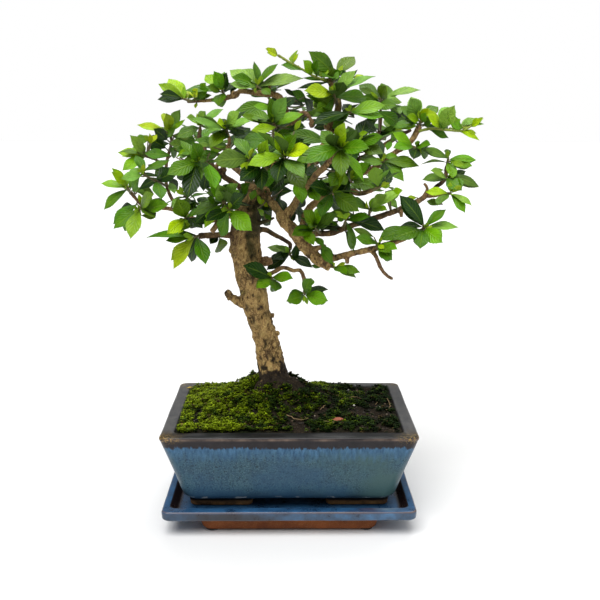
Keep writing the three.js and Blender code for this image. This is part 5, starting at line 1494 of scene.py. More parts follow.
        [-22, 227, -34, 219, 7, -40, "d"], [-15, 214, -20, 207, 5, -36, "m"],
        [-20, 216, -30, 211, 7, -24, "d"], [-23, 229, -20, 236, 6, -40, "m"],
        [-14, 213, -24, 217, 7, -20, "d"], [-12, 218, -16, 226, 6, -30, "d"]]},
    "frontFan": {"stem": [[-5, 222.6, -53], [-3.4, 227, -62]],
        "leaves": [[1, -25.8, 220.8, 8], [1, 12.6, 231.8, 7], [1, 4.5, 240, 6], [1, -9, 241.5, 6],
        [1, -8, 210, 9], [1, 9, 213, 8]], "tones": "lymldg",
        "more": [[-1.5, 219.5, 9.3, 206.3, 10, -52, "g"], [-4, 219, -17.5, 208.5, 8, -50, "m"],
        [-3, 214, -12, 204, 7, -36, "d"], [3, 241.5, 7.3, 248.5, 3, -40, "l"],
        [-5, 231, -8.5, 235.5, 3, -56, "l"], [2, 229, 9, 237, 6, -40, "d"],
        [10, 234, 4, 227.5, 6, -36, "d"], [-2, 226, -16, 233, 6, -48, "m"], [0, 216, -10, 222, 7, -30, "d"],
        [-6, 224, -20, 226.5, 6, -44, "m"]]},
    "centreHigh": {"stem": [[-8.4, 236, 11], [-10, 239.5, -8], [-9.4, 247.2, -16]],
        "leaves": [[1, -29, 236, 7], [2, -25, 252.5, 7], [2, -1.8, 262.4, 9], [1, 10.5, 240, 9],
        [2, 8.5, 252, 6], [2, -12, 262, 7]], "tones": "mopmbm",
        "more": [[-11, 257.5, -33, 253.8, 8, 6, "m"], [-10.5, 254.5, -22, 257, 4.5, 0, "b"],
        [-16, 246, -30.5, 252, 4, -10, "o"], [-12, 249, -20, 253.5, 4, -4, "o"],
        [-8, 244, -23.5, 242, 6, -20, "l"], [-11, 236.5, -28.5, 236.3, 6, -26, "m"],
        [24, 235, 0, 240.5, 8, -36, "g"], [4, 262, -3, 267, 3, 22, "d"], [11, 258.5, 1.5, 266, 6, 26, "m"],
        [9, 257, 0, 261, 6, 18, "d"], [4, 262, -5, 256, 6, 14, "d"], [9, 262, 14, 254, 6, 20, "d"],
        [-4, 250, -10, 243, 6, 0, "d"], [0, 254, 8, 249, 6, 8, "m"], [-6, 240, -14, 231, 7, 0, "d"],
        [0, 243, 10, 244, 6, -14, "d"], [-13, 258, -8, 252, 6, 12, "d"], [2, 233, 14, 236, 7, -4, "d"]]},
    "frontRightFan": {"stem": [[29.5, 227.6, -56], [31.8, 232, -63]],
        "leaves": [[1, 10, 223.5, 9], [1, 32.5, 214, 10], [1, 46.5, 210.5, 4.5], [1, 49.5, 231.5, 8],
        [1, 34, 247, 7], [1, 19.4, 242, 8]], "tones": "mobmlm",
        "more": [[28.5, 231, 3.8, 222.8, 9, -50, "m"], [31, 231.5, 35.5, 236.8, 4.5, -60, "l"],
        [31, 229, 24, 219, 7, -44, "d"], [33, 217, 25.5, 207.8, 9, -40, "o"],
        [26, 227, 20, 219, 6, -30, "d"], [31, 233, 25, 226, 6, -36, "m"], [18, 221, 14, 213, 6, -24, "d"],
        [24, 214, 30, 205, 6, -30, "m"]]},
    "rightInnerHigh": {"stem": [[40.2, 222, 3.5], [42.5, 234, -12]],
        "leaves": [[1, 28.5, 243.5, 6], [1, 58, 238.6, 7], [1, 47.5, 249, 9], [1, 35.5, 221, 8],
        [1, 58.5, 228, 7]], "tones": "omddg",
        "more": [[42, 239.5, 48.5, 241, 3, -8, "l"], [44, 224, 58, 221.7, 4.5, -20, "g"],
        [46, 229, 55.5, 233.5, 4, -4, "d"], [40, 231, 31, 238, 6, 4, "d"], [41, 234, 36, 245, 6, 2, "o"],
        [45, 236, 53, 236, 6, -2, "m"], [38, 226, 28, 224, 6, -8, "d"], [52, 226, 47, 218, 5, -8, "m"]]},
    "darkCentre": {"stem": [[7, 206, -10], [4, 212.5, -22]],
        "leaves": [[1, 8, 197, 8], [1, -14, 207.5, 9], [1, 21, 206, 8], [1, -7, 225, 8],
        [1, 12, 226.5, 8]], "tones": "bdddd",
        "more": [[12, 206.5, 18.8, 199, 7.5, -24, "b"], [-8, 201, -3, 191.8, 6, 0, "d"],
        [-4, 206, -10.5, 200, 6, -4, "d"], [2, 205, -8, 203.5, 6, 0, "d"], [5, 193.5, 9, 185, 6, -6, "d"],
        [14, 214, 19, 203, 7, 0, "d"], [15, 222, 12, 212, 6, -4, "d"], [0, 212, 8, 219, 7, -6, "d"],
        [10, 200, 4, 193, 6, 2, "d"], [-6, 212, -16, 214, 7, 2, "d"], [18, 210, 25, 203, 7, 4, "d"],
        [-12, 205, -6, 198, 6, 8, "d"]]},
    "rightInner": {"stem": [[36.2, 210.2, -7.5], [38, 212, -26]],
        "leaves": [[1, 57.5, 205.3, 8], [1, 50, 222, 7], [1, 30, 198.5, 8],
        [1, 22.5, 215, 8]], "tones": "omdd",
        "more": [[40, 210, 54, 207, 6, -20, "o"], [37, 213, 29, 212, 8, -30, "o"],
        [38, 216, 34, 224, 6, -14, "d"]]},
    "rightMid": {"stem": [[56, 221.3, -1.6], [58.6, 223.5, -12]],
        "leaves": [[1, 80.8, 220.4, 7], [1, 60, 206.5, 8], [1, 43, 224.6, 5], [1, 71.5, 211, 7],
        [1, 53, 238, 7]], "tones": "odgmd",
        "more": [[56, 222, 77, 221.5, 7, -10, "o"], [58, 222, 64, 216, 6, -6, "d"],
        [50, 221, 44, 215.5, 4, -8, "m"], [57, 226, 68, 226, 4, -4, "b"]]},
    "rightTop": {"stem": [[80.3, 244.5, 5], [80.8, 248.2, 4]],
        "leaves": [[1, 74.5, 262.5, 9], [1, 91.5, 256, 6], [1, 68, 257, 6], [1, 86, 255.5, 5],
        [1, 64, 244, 5], [1, 98.5, 237.7, 5]], "tones": "pogymd",
        "more": [[78, 249, 74, 261.8, 10, 8, "p"], [77, 250, 66, 256, 6.5, 8, "g"],
        [82, 251, 91.5, 256.5, 6.5, 8, "m"], [80, 248, 72, 251, 5, 2, "l"], [82, 247, 84, 253, 4.5, 0, "b"],
        [79, 245, 69, 243.5, 3.5, 2, "b"], [78, 247, 71, 249, 5, 8, "d"], [77, 251, 68, 252, 5, 14, "d"],
        [83, 245, 88, 250, 5, 2, "m"]]},
    "rightShoot": {"stem": [[78.6, 241.4, 4.3], [87, 243.4, 0], [93.3, 243, -1], [100, 242.3, 0],
        [107, 242.4, 1], [113, 245.5, 2]],
        "leaves": [[2, 84.5, 252, 5], [2, 101.5, 257.4, 10], [4, 97.5, 249.5, 6], [4, 115, 249.8, 5.5],
        [5, 118.8, 249.9, 4.5], [5, 119.3, 246.5, 4], [4, 117.6, 236.3, 3.5]], "tones": "ypbpypy",
        "more": [[93.5, 244, 84, 255, 5, -2, "y"], [91, 246, 101.5, 256.3, 9, 2, "p"],
        [107, 243.5, 98, 248.5, 6, 0, "b"], [106, 245, 115, 249.5, 5, 0, "p"],
        [108, 242.5, 115.5, 240.5, 2.5, 2, "y"], [112, 244.5, 118, 249.3, 4.5, 2, "y"],
        [87, 242.5, 98, 237.8, 4.5, 0, "m"], [104, 243, 104, 249.5, 4, 1, "l"],
        [98, 243, 92, 248, 5, 4, "m"]]},
    "rightHang": {"stem": [[72.5, 233.6, 2], [79, 231.5, -6]],
        "leaves": [[1, 77, 224.6, 7], [1, 86.5, 228, 7], [1, 87.5, 233.5, 4], [1, 64.5, 231.5, 5],
        [1, 63.5, 241, 6]], "tones": "ddmbb",
        "more": [[80, 233, 87.5, 233.8, 3, -6, "d"], [78, 232, 75.5, 226, 6, -4, "d"],
        [80.5, 231, 86, 226.5, 6.5, -8, "m"], [73, 235, 64.5, 231.8, 4.5, 2, "b"],
        [66, 236, 63, 241.5, 6, 8, "b"], [63, 236, 60.5, 230, 4, 12, "b"]]},
    "rightSide": {"stem": [[97.9, 219.6, -8.2], [98.6, 225, -9]],
        "leaves": [[1, 82.5, 230.4, 5.5], [1, 116, 224.5, 4.5], [1, 114, 220.5, 6],
        [1, 102.5, 213.5, 6]], "ruled": 1, "tones": "gbbb",
        "more": [[99, 225, 83, 231.5, 5, -10, "g"], [99, 222, 116, 224, 4, -10, "b"],
        [100, 221, 113, 220.3, 5, -8, "o"], [100, 219.5, 102, 213, 5, -14, "b"],
        [99, 226, 97.5, 231, 4, -6, "g"], [100, 223, 109, 221, 4, -14, "l"]]},
    "rightTip": {"stem": [[96.4, 212, -10.3], [99.6, 212.6, -16]],
        "leaves": [[1, 110, 217.5, 5], [1, 118.5, 207.5, 6], [1, 88, 217.8, 4], [1, 83, 212, 5],
        [1, 108, 205.5, 9]], "tones": "dgpgm",
        "more": [[100, 215.5, 118.5, 208, 5.5, -18, "g"], [98, 213, 107.5, 205.5, 9, -20, "m"],
        [96.5, 214.5, 83.5, 212.3, 5, -12, "g"], [96.5, 218, 88, 217.8, 2.5, -10, "l"],
        [100, 211, 104, 214.5, 4, -12, "d"]]},
    "rightLow": {"stem": [[97.6, 203.2, -23.6], [101, 203.6, -28]],
        "leaves": [[1, 110.5, 191.5, 5.5], [1, 114.5, 196, 3.5], [1, 85, 204.5, 5],
        [1, 93, 196, 5]], "tones": "bpyg",
        "more": [[101, 203, 110, 192, 5, -28, "b"], [99, 203, 86, 203.5, 6, -22, "y"],
        [96, 196.5, 86, 198.8, 4.5, -16, "g"], [80, 201, 73, 199, 4, -20, "y"]]},
    "midRight": {"stem": [[50, 186.9, -28], [50.4, 193.6, -34]],
        "leaves": [[1, 61, 202.8, 6], [1, 37.5, 200, 5], [1, 61.5, 193, 3.5],
        [1, 71, 205.3, 5.5]], "tones": "pglp",
        "more": [[51.5, 194.5, 60.5, 202.8, 6, -34, "p"], [50, 193.5, 38, 199.8, 5, -36, "g"],
        [52, 193, 61, 193.8, 3, -30, "b"], [63, 200.5, 70.5, 205.8, 5.5, -28, "l"],
        [60, 204.8, 69, 203.5, 3, -24, "g"], [43, 187.5, 50.5, 189.5, 5, -30, "m"],
        [68, 194, 62, 200, 5, -28, "p"]]},
    "innerRight": {"stem": [[24.3, 203, -9.6], [27, 204, -38]],
        "leaves": [[1, 43.8, 192.2, 10], [1, 19.6, 188.5, 8], [1, 12.5, 208, 8],
        [1, 36, 219, 7]], "tones": "omdo",
        "more": [[22, 206, 27, 195, 7, 5, "d"], [18, 203, 22, 192, 7, -2, "d"],
        [17, 183, 22.5, 192.5, 5.5, -26, "b"], [28, 204, 42.8, 194, 9, -24, "o"],
        [24, 201, 32, 193, 7, -10, "d"], [26, 197, 17, 195, 6, 0, "d"], [18, 184, 29, 190.5, 4, -20, "d"]]},
    "innerLow": {"stem": [[20, 178.1, -22], [16, 182, -32]],
        "leaves": [[1, 20.4, 195.5, 5], [1, 8.5, 193, 7], [1, 1.5, 177, 7],
        [1, 30.5, 190.5, 7]], "tones": "bomg",
        "more": [[16.5, 181, 10, 187, 5, -28, "b"], [9, 180.5, 15.5, 171, 6.5, -34, "b"],
        [15.5, 176, 22, 170.5, 4, -32, "m"], [21, 185, 31, 184, 3, -26, "m"],
        [19.5, 168.5, 27.5, 158.8, 5.5, -33, "m"], [21, 167, 30, 161, 4, -28, "d"],
        [4, 192, -1, 184, 5, -4, "d"], [8, 188, 3, 195, 6, 0, "d"]]},
    "midLow": {"stem": [[34, 181.6, -26], [35.6, 187, -36]],
        "leaves": [[1, 60, 180, 7], [1, 40.5, 167, 5], [1, 50.5, 189, 5]], "tones": "dmm",
        "more": [[42, 189.5, 24.5, 191, 6, -30, "g"], [38, 190, 30, 186.8, 4.5, -32, "b"],
        [36, 180, 37.6, 175.8, 2.5, -30, "d"], [35.5, 179, 39.3, 167.5, 3, -31, "g"],
        [40, 189.5, 60, 180.5, 7, -34, "d"], [40, 193, 30, 196, 5, -20, "d"]]},
    "lowRightTip": {"stem": [[82, 179.8, -34.6], [85.4, 182, -37]],
        "leaves": [[1, 69, 202.4, 10], [1, 98.5, 193.5, 5.5], [1, 106.8, 182.3, 5], [1, 97, 172.5, 9],
        [1, 82.8, 168.6, 9.5], [1, 65, 174.5, 9]], "tones": "dmpbmm",
        "more": [[76, 181.5, 56.5, 174.2, 9, -36, "m"], [84, 182.5, 70, 183, 4.5, -34, "d"],
        [85, 180, 82.8, 169, 9, -38, "m"], [86, 181.5, 96.5, 173, 9, -36, "b"],
        [84, 184, 70, 201.5, 8, -40, "d"], [88, 184, 98.3, 193.3, 4.5, -38, "m"]]},
    "lowRight": {"stem": [[54, 168.6, -38.4], [56.5, 171.5, -43]],
        "leaves": [[1, 41.5, 175.8, 5.5], [1, 65.3, 161.2, 8], [1, 68.5, 168.3, 5],
        [1, 64, 166, 6]], "tones": "mmbo",
        "more": [[54, 172, 42, 175.8, 5.5, -44, "m"], [55, 171, 65, 161.5, 7.5, -44, "m"],
        [57, 171, 68, 168.4, 4, -40, "m"], [53.5, 176, 40, 181.5, 4, -42, "g"],
        [56, 171, 60, 168.5, 3, -46, "y"]]},
    "lowBranchEnd": {"stem": [[25.6, 157.6, -26.8], [28.8, 156.6, -31]],
        "leaves": [[1, 45, 153.3, 5.5], [1, 42.5, 150, 4.5], [1, 20, 171, 6],
        [1, 36.5, 152.3, 5]], "tones": "bgmb",
        "more": [[30, 157, 45, 153.5, 5, -31, "l"], [31, 156.5, 42.5, 150.2, 3, -29, "g"],
        [29, 157, 37, 152.3, 4, -33, "b"]]},
    "dropTwig": {"stem": [[9.5, 141.8, -22], [9.8, 138.6, -22]],
        "leaves": [[1, -2, 134.6, 8], [1, 24.8, 134.8, 9], [1, 14, 149.7, 7],
        [1, 24.8, 142.3, 4.5]], "tones": "mbmd",
        "more": [[9.7, 140, -1.5, 135.3, 8, -20, "m"], [9.8, 140, 24.5, 135.3, 9.5, -24, "b"],
        [10, 141, 14, 149.5, 7, -20, "b"], [12, 143, 24, 142.5, 3.5, -18, "d"]]},
    "overTrunk": {"stem": [[-13, 152, -8.5], [-11, 149.6, -19]],
        "leaves": [[1, -29.5, 157.7, 9], [1, -21, 143, 6.5], [1, -8.7, 141, 7],
        [1, 2.3, 149.4, 6.5]], "tones": "dbmb",
        "more": [[-10, 150, 2, 149.5, 6.5, -20, "b"], [-11.5, 149, -20.5, 143.3, 6.5, -22, "b"],
        [-10, 149, -8.5, 141.2, 7, -18, "m"], [-12.5, 151, -28.5, 157.5, 8, -18, "d"],
        [-15, 152, -26, 153.5, 5, -14, "d"]]},
    "underBranch": {"stem": [[0, 166.6, 16.8], [0.3, 164.6, 14.6]],
        "leaves": [[1, -14.4, 155, 7], [1, 14.8, 156.4, 6], [1, -14, 169.6, 5],
        [1, 12, 172, 6]], "tones": "ddpd",
        "more": [[0, 166, -13, 156.8, 8, 10, "d"], [1, 163.5, 13.8, 156.8, 6, 12, "d"],
        [3, 161, 5.5, 171, 5, 16, "d"], [1, 168.5, -9, 169.8, 2.5, 14, "p"], [0, 165, -10, 162, 6, 18, "d"],
        [14, 158, 19.5, 156.2, 3, 10, "m"]]},
    "backLeft": {"stem": [[-44, 227, 50], [-50, 233, 58], [-57, 236, 62]],
        "leaves": [], "ruled": 8},
    "backCentre": {"stem": [[5, 244, 50], [8, 249, 59], [16, 255, 62]],
        "leaves": [], "ruled": 8},
    "backRight": {"stem": [[50, 234, 48], [57, 237, 56], [65, 242, 58]],
        "leaves": [], "ruled": 8},
    "backLowRight": {"stem": [[40, 205, 44], [47, 204, 54], [58, 208, 60]],
        "leaves": [], "ruled": 8},
    "backLowLeft": {"stem": [[-50, 193.5, 47], [-57, 196, 55], [-66, 202, 57]],
        "leaves": [], "ruled": 8,
        "more": [[-20, 198, -11, 189, 8, 2, "d"], [-19, 192, -12, 183.5, 7, 2, "d"],
        [-17, 196, -9, 193, 6, 0, "d"], [-20.5, 203, -17, 196, 3, -10, "l"],
        [-18, 200, -13.5, 195, 3, -10, "y"], [-20, 194, -16, 189.5, 3, -11, "l"],
        [-16, 191, -11.5, 186.5, 3, -8, "m"], [-21, 206, -24, 199, 4, -11, "m"],
        [-17, 205, -12, 201, 4, -9, "d"]]},
    "backHigh": {"stem": [[-13.5, 263.2, 17], [-15, 266, 31], [-14, 264, 43]],
        "leaves": [], "ruled": 7,
        "more": [[-14, 262, -24, 266, 7, 24, "m"], [-12, 260, -4, 262, 6, 28, "d"],
        [-16, 264, -8, 268, 6, 30, "m"]]},
    "frontFarRight": {"stem": [[50, 205, -47], [56.8, 207.5, -56]],
        "leaves": [], "ruled": 7},
}

# sprays in the middle of the crown, which get extra dark-toned leaves as painted shade
inner = ["backLeft", "backCentre", "backRight", "backLowRight", "backLowLeft", "backHigh", "apexFront",
         "midCrown", "innerHighLeft", "hangingLeft", "innerLeft", "frontLow", "frontLeftFan", "frontFan",
         "centreHigh", "frontRightFan", "rightInnerHigh", "darkCentre", "rightInner", "innerRight",
         "innerLow"]

leaf = {
    # the solids' leaves: how many swings are tried, how far apart in mm, and how near a corner is in metres
    "swings": 13,
    "swingStep": 2.3,
    "near": 0.00012,
    "goldenAngle": 2.39996,
    # the lengths and leanings of leaves that the front shows, and of those that only this model has, in mm
    "seen": {"shortest": 16, "longest": 24, "perWidth": 2.7, "lean": 14, "slimmest": 0.44},
    "free": {"longest": 21, "perWidth": 2.6, "lean": 10, "roll": (0.25, 0.45)},
    # the share of seen leaves that lean towards the eye: least, most, and halfway through the tree, with
    # the depth in mm over which it falls by 1
    "towards": (0.15, 0.9, 0.6, 80),
    # a ruled leaf, where a pair is the least and how much chance adds
    "ruled": {"astray": 0.7, "swing": 0.37, "rise": (-0.15, 0.95), "length": (15, 5),
              "slimness": (0.4, 0.08), "roll": 0.9},
    # a blade
    "arch": 0.07,
    "twist": 0.35,
    "wavy": (0.10, 0.12),
    "fold": (0.10, 0.20),
    "hook": 0.05,
    "thinRim": 0.55,
    "outline": (0.85, 0.3),  # the outline's power at the base, and what the tip adds to it
    "narrowest": 0.1,
    "waves": (9, 0.35),  # how far they turn along the blade, and how high they are
    "ridge": 0.55,
    "groove": 0.09,
    "thick": 0.24,
    "stations": [0, 0.05, 0.11, 0.18, 0.26, 0.35, 0.44, 0.53, 0.61, 0.665, 0.69, 0.755, 0.78, 0.84, 0.865,
                 0.915, 0.96, 1],
    "toothTips": [0.665, 0.755, 0.84],
    "toothNotches": [0.69, 0.78, 0.865],
    "tooth": 0.045,
    "columns": 5,
    "fullAt": 1.24,
    "mottle": (240.0, 1600.0, 0.55),
    "bump": (0.65, 0.0005),
    "roughness": (0.26, 0.44),
    "midribWidth": (0.02, 0.055),
    "veinWidth": (0.02, 0.10),
    "veinSlant": (8.0, 5.0),
    "shootMottle": (180.0, 1500.0, 0.52),
    "shootBump": (0.4, 0.0003),
    # the tones by their letters, and those of leaves that no photograph shows
    "tones": {
        # d paints a leaf dark as painted shade, and p and g carry a whitish painted sheen
        "y": (0.370, 0.530, 0.002), "l": (0.228, 0.430, 0.003), "b": (0.134, 0.335, 0.002),
        "m": (0.069, 0.190, 0.001), "d": (0.009, 0.040, 0.001), "o": (0.090, 0.190, 0.002),
        "p": (0.200, 0.390, 0.046), "g": (0.098, 0.195, 0.018),
    },
    "ruledTones": "mdomb",
    # the tones of the inner sprays' extra leaves: painted shade inside the crown
    "innerTones": "ddmd",
    "youngTones": "yyl",
    "patchShades": ((0.70, 0.74, 0.66), (1.18, 1.12, 1.05)),
    "baseShade": (0.010, 0.045, 0.002),
    "vein": (0.28, 0.44, 0.03),
    "underside": (0.17, 0.30, 0.04),
    "innerLeaves": 6,
    "youngLength": (4.0, 8.5),
    "youngSlimness": 0.4,
    "shootRadii": (1.05, 0.75),  # at the base and from there on
    # the numbers from which the further, inner and young leaves of a spray are counted
    "furtherFrom": 100,
    "innerFrom": 60,
    "youngFrom": 50,
    "shoot": (0.110, 0.105, 0.030),
    "shootShade": (0.070, 0.045, 0.020),
    "shootSpeck": (0.20, 0.14, 0.06),
    "youngShoot": (0.300, 0.400, 0.030),
    "young": ["apexShoot", "rightShoot"],
}
boxLow, boxHigh = (np.array(corner) / mm for corner in cadBox)


def makeLeafMaterial():
    material, tree, shader = newMaterial("leafSkin", Specular_IOR_Level=0.24)
    marks = addMottle(tree, *leaf["mottle"])
    place = addNode(tree, "ShaderNodeSeparateXYZ",
                    {"Vector": addNode(tree, "ShaderNodeUVMap", uv_map="blade").outputs["UV"]})
    along, across = place.outputs["X"], place.outputs["Y"]
    aside = math2(tree, "ABSOLUTE", math2(tree, "SUBTRACT", across, 0.5))
    midrib = ramp(tree, aside, *leaf["midribWidth"], 1.0, 0.0)
    perLength, perWidth = leaf["veinSlant"]
    slant = math2(tree, "SUBTRACT", times(tree, along, perLength), times(tree, aside, perWidth))
    wave = math2(tree, "PINGPONG", slant, 0.5)
    veins = ramp(tree, wave, *leaf["veinWidth"], 1.0, 0.0)
    tone = readTones(tree, "tone")
    pale = mixColor(tree, 0.42, tone, leaf["vein"])
    shade = mixColor(tree, marks["Patches"], *leaf["patchShades"])
    color = layered(tree, mixColor(tree, 1.0, tone, shade, "MULTIPLY"),
                    (ramp(tree, along, 0.05, 0.45, 0.5, 0.0), leaf["baseShade"]),
                    (times(tree, veins, 0.22), pale),
                    (times(tree, midrib, 0.55), pale),
                    (readMask(tree, "under"), mixColor(tree, 0.30, tone, leaf["underside"])))
    plug(tree, shader.inputs["Base Color"], color)
    gloss = ramp(tree, marks["Patches"], 0, 1, *leaf["roughness"])
    dull = times(tree, readMask(tree, "under"), 0.3)
    plug(tree, shader.inputs["Roughness"], math2(tree, "ADD", gloss, dull))
    quilt = times(tree, math2(tree, "SINE", times(tree, wave, math.pi)), 0.55)
    relief = math2(tree, "SUBTRACT", quilt, times(tree, midrib, 0.8))
    height = math2(tree, "ADD", relief, times(tree, marks["Height"], 0.7))
    addBump(tree, shader, height, *leaf["bump"])
    return material


def makeShootMaterial():
    material, tree, shader = newMaterial("shootSkin", Roughness=0.55)
    marks = addMottle(tree, *leaf["shootMottle"])
    tone = readTones(tree, "tone")
    color = mixColor(tree, marks["Patches"], mixColor(tree, 0.6, tone, leaf["shootShade"]), tone)
    color = mixColor(tree, times(tree, marks["Specks"], 0.4), color, leaf["shootSpeck"])
    plug(tree, shader.inputs["Base Color"], color)
    addBump(tree, shader, marks["Height"], *leaf["shootBump"])
    return material


# adds one closed blade from start to tip, and its place along and across to uvs
def addBlade(points, faces, uvs, start, tip, across, up, width, keys):
    spine = tip - start
    length = np.linalg.norm(spine)
    columns = leaf["columns"]
    sides = np.linspace(-1, 1, columns)
    twist = leaf["twist"] * (chance(*keys, 21) - 0.5)
    wavy = leaf["wavy"][0] + leaf["wavy"][1] * chance(*keys, 22)
    phase = 6.3 * chance(*keys, 23)
    fold = leaf["fold"][0] + leaf["fold"][1] * chance(*keys, 24)
    hook = leaf["hook"] * (chance(*keys, 25) - 0.3)
    blunt, sharper = leaf["outline"]
    waves, waveHeight = leaf["waves"]
    first = len(points)
    top, bottom = [], []
    for share in leaf["stations"]:
        swell = math.sin(math.pi * min(share, 0.999) ** leaf["fullAt"])
        half = width / 2 * swell ** (blunt + sharper * share)
        if share in leaf["toothTips"]:
            half *= 1 + leaf["tooth"]
        elif share in leaf["toothNotches"]:
            half *= 1 - leaf["tooth"]
        half = max(half, leaf["narrowest"])
        turn = twist * (share - 0.5)
        sideways = across * math.cos(turn) + up * math.sin(turn)
        lift = leaf["arch"] * length * 4 * share * (1 - share)
        lift -= hook * length * share ** 3 * (1 - share) * 4
        middle = start + spine * share + up * lift
        for side in sides:
            bend = fold * half * (abs(side) - leaf["ridge"] * side * side)
            bend -= leaf["groove"] * half * (abs(side) < 0.1)
            wave = math.sin(waves * share + phase + (2 if side > 0 else 0))
            bend += wavy * half * waveHeight * side * side * wave
            thick = leaf["thick"] * (1 - leaf["thinRim"] * side * side)
            place = middle + sideways * half * side + up * bend
            top.append(place)
            bottom.append(place - up * thick)
            uvs.append((share, 0.5 + 0.5 * side))
    uvs.extend(uvs[-len(top):])
    points.extend(top + bottom)
    count = len(top)
    rows = len(leaf["stations"])
    for row in range(rows - 1):
        for column in range(columns - 1):
            a = first + row * columns + column
            faces.append((a, a + 1, a + 1 + columns, a + columns))
            faces.append((a + count, a + count + columns, a + count + 1 + columns, a + count + 1))
    rim = [row * columns for row in range(rows)] + [(rows - 1) * columns + c for c in range(1, columns)]
    rim += [row * columns + columns - 1 for row in range(rows - 2, -1, -1)]
    rim += list(range(columns - 2, 0, -1))
    for a, b in zip(rim, rim[1:] + rim[:1]):
        faces.append((first + a, first + b, first + b + count, first + a + count))


def leafBase(places, at, order):
    back = places[at - 1] - places[at]
    spacing = min(0.8, 0.1 * np.linalg.norm(back))
    return places[at] + unit(back) * spacing * (order % 7)


# the directions across and up of a blade that faces the eye
def facingEye(base, tip):
    ahead = unit(tip - base)
    flat = unit(np.cross(unit(eye - base), ahead))
    return flat, unit(np.cross(ahead, flat))


# a leaf's directions across and up, rolled round its length
def rolled(flat, facing, roll):
    cos, sin = math.cos(roll), math.sin(roll)
    return (flat * cos + facing * sin, facing * cos - flat * sin)


# a leaf that the front shows: its tip slides along the line of sight from swing to swing
def seenLeaf(spray, number, base, depth, row, swing):
    _, tipX, tipZ, seenWidth = row
    seen = np.linalg.norm(alongSight(tipX, tipZ, depth) - base)
    rule = leaf["seen"]
    full = min(rule["longest"], max(rule["shortest"], rule["perWidth"] * seenWidth))
    lean = min(rule["lean"], math.sqrt(max(0, full * full - seen * seen)))
    least, most, halfway, fall = leaf["towards"]
    forward = chance(spray, number, 1) < min(most, max(least, halfway - depth / fall))
    aside = math.ceil(swing / 2) * leaf["swingStep"] * (1 if swing % 2 else -1)
    tip = alongSight(tipX, tipZ, depth - lean - aside if forward else depth + lean + aside)
    flat, facing = facingEye(base, tip)
    width = max(seenWidth, rule["slimmest"] * min(rule["longest"], np.linalg.norm(tip - base)))
    roll = math.acos(min(1, seenWidth / width)) * (-1 if flat[2] > 0 else 1)
    return (tip, *rolled(flat, facing, roll), width)


# a leaf that only the finer model has, leaning towards or away from the eye by what its length asks for
def freeLeaf(spray, number, row):
    baseX, baseZ, tipX, tipZ, width, depth, _ = row
    base = alongSight(baseX, baseZ, depth)
    seen = np.linalg.norm(alongSight(tipX, tipZ, depth) - base)
    rule = leaf["free"]
    full = max(seen, min(rule["longest"], rule["perWidth"] * width))
    lean = min(rule["lean"], math.sqrt(full * full - seen * seen))
    tip = alongSight(tipX, tipZ, depth + lean if chance(spray, number, 1) < 0.5 else depth - lean)
    flat, facing = facingEye(base, tip)
    roll = (rule["roll"][0] + rule["roll"][1] * chance(spray, number, 8)) * (-1 if flat[2] > 0 else 1)
    return (base, tip, *rolled(flat, facing, roll), width / math.cos(roll))


# a twig to such a leaf, from the shoot or from the branch that is nearer
def addTwig(points, faces, places, base):
    spots = [places[0] + (places[-1] - places[0]) * share for share in (0.3, 0.6, 0.9)]
    spots.append(np.array(woodPlaces.find(base)[0]))
    start = min(spots, key=lambda spot: np.linalg.norm(spot - base))
    reach = np.linalg.norm(base - start)
    if reach > 1.5:
        middle = (start + base) / 2 - (0, 0, 0.08 * reach)
        curve, radii = smoothCurve([start, middle, base], [0.6, 0.5, 0.4], 1.6)
        addTube(points, faces, curve, radii, 6)


def ruledLeaf(spray, number, base, outward, swing):
    rule = leaf["ruled"]
    turn = math.atan2(outward[1], outward[0]) + leaf["goldenAngle"] * number
    turn = turn + rule["astray"] * chance(spray, number, 2) + rule["swing"] * swing
    rise, length, slimness = (rule[key][0] + rule[key][1] * chance(spray, number, draw)
                              for key, draw in (("rise", 3), ("length", 4), ("slimness", 6)))
    ahead = np.array((math.cos(turn) * math.cos(rise), math.sin(turn) * math.cos(rise), math.sin(rise)))
    sideways = np.array((-math.sin(turn), math.cos(turn), 0))
    above = unit(np.cross(ahead, sideways))
    roll = rule["roll"] * (chance(spray, number, 5) - 0.5)
    return (base + ahead * length, *rolled(sideways, above, roll), length * slimness)


# the leaf at the swing that the solid's leaf has: the one whose tip is a corner of the solid
def placedLeaf(solid, make):
    for swing in range(leaf["swings"]):
        shape = make(swing)
        if solid.find(Vector(shape[0] * mm))[2] < leaf["near"]:
            return shape
    return None


def jittered(color, *keys):
    warm = 0.16 * (chance(*keys, 31) - 0.5)
    light = 0.82 + 0.36 * chance(*keys, 32)
    return np.array((color[0] * (1 + warm * 2), color[1] * (1 + warm * 0.3), color[2] * (1 - warm))) * light


def inBox(place):
    return np.all(place > boxLow + 0.5) and np.all(place < boxHigh - 0.5)


def cornersOf(node):
    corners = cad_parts[node].data.vertices
    tree = KDTree(len(corners))
    for index, corner in enumerate(corners):
        tree.insert(corner.co, index)
    tree.balance()
    return tree


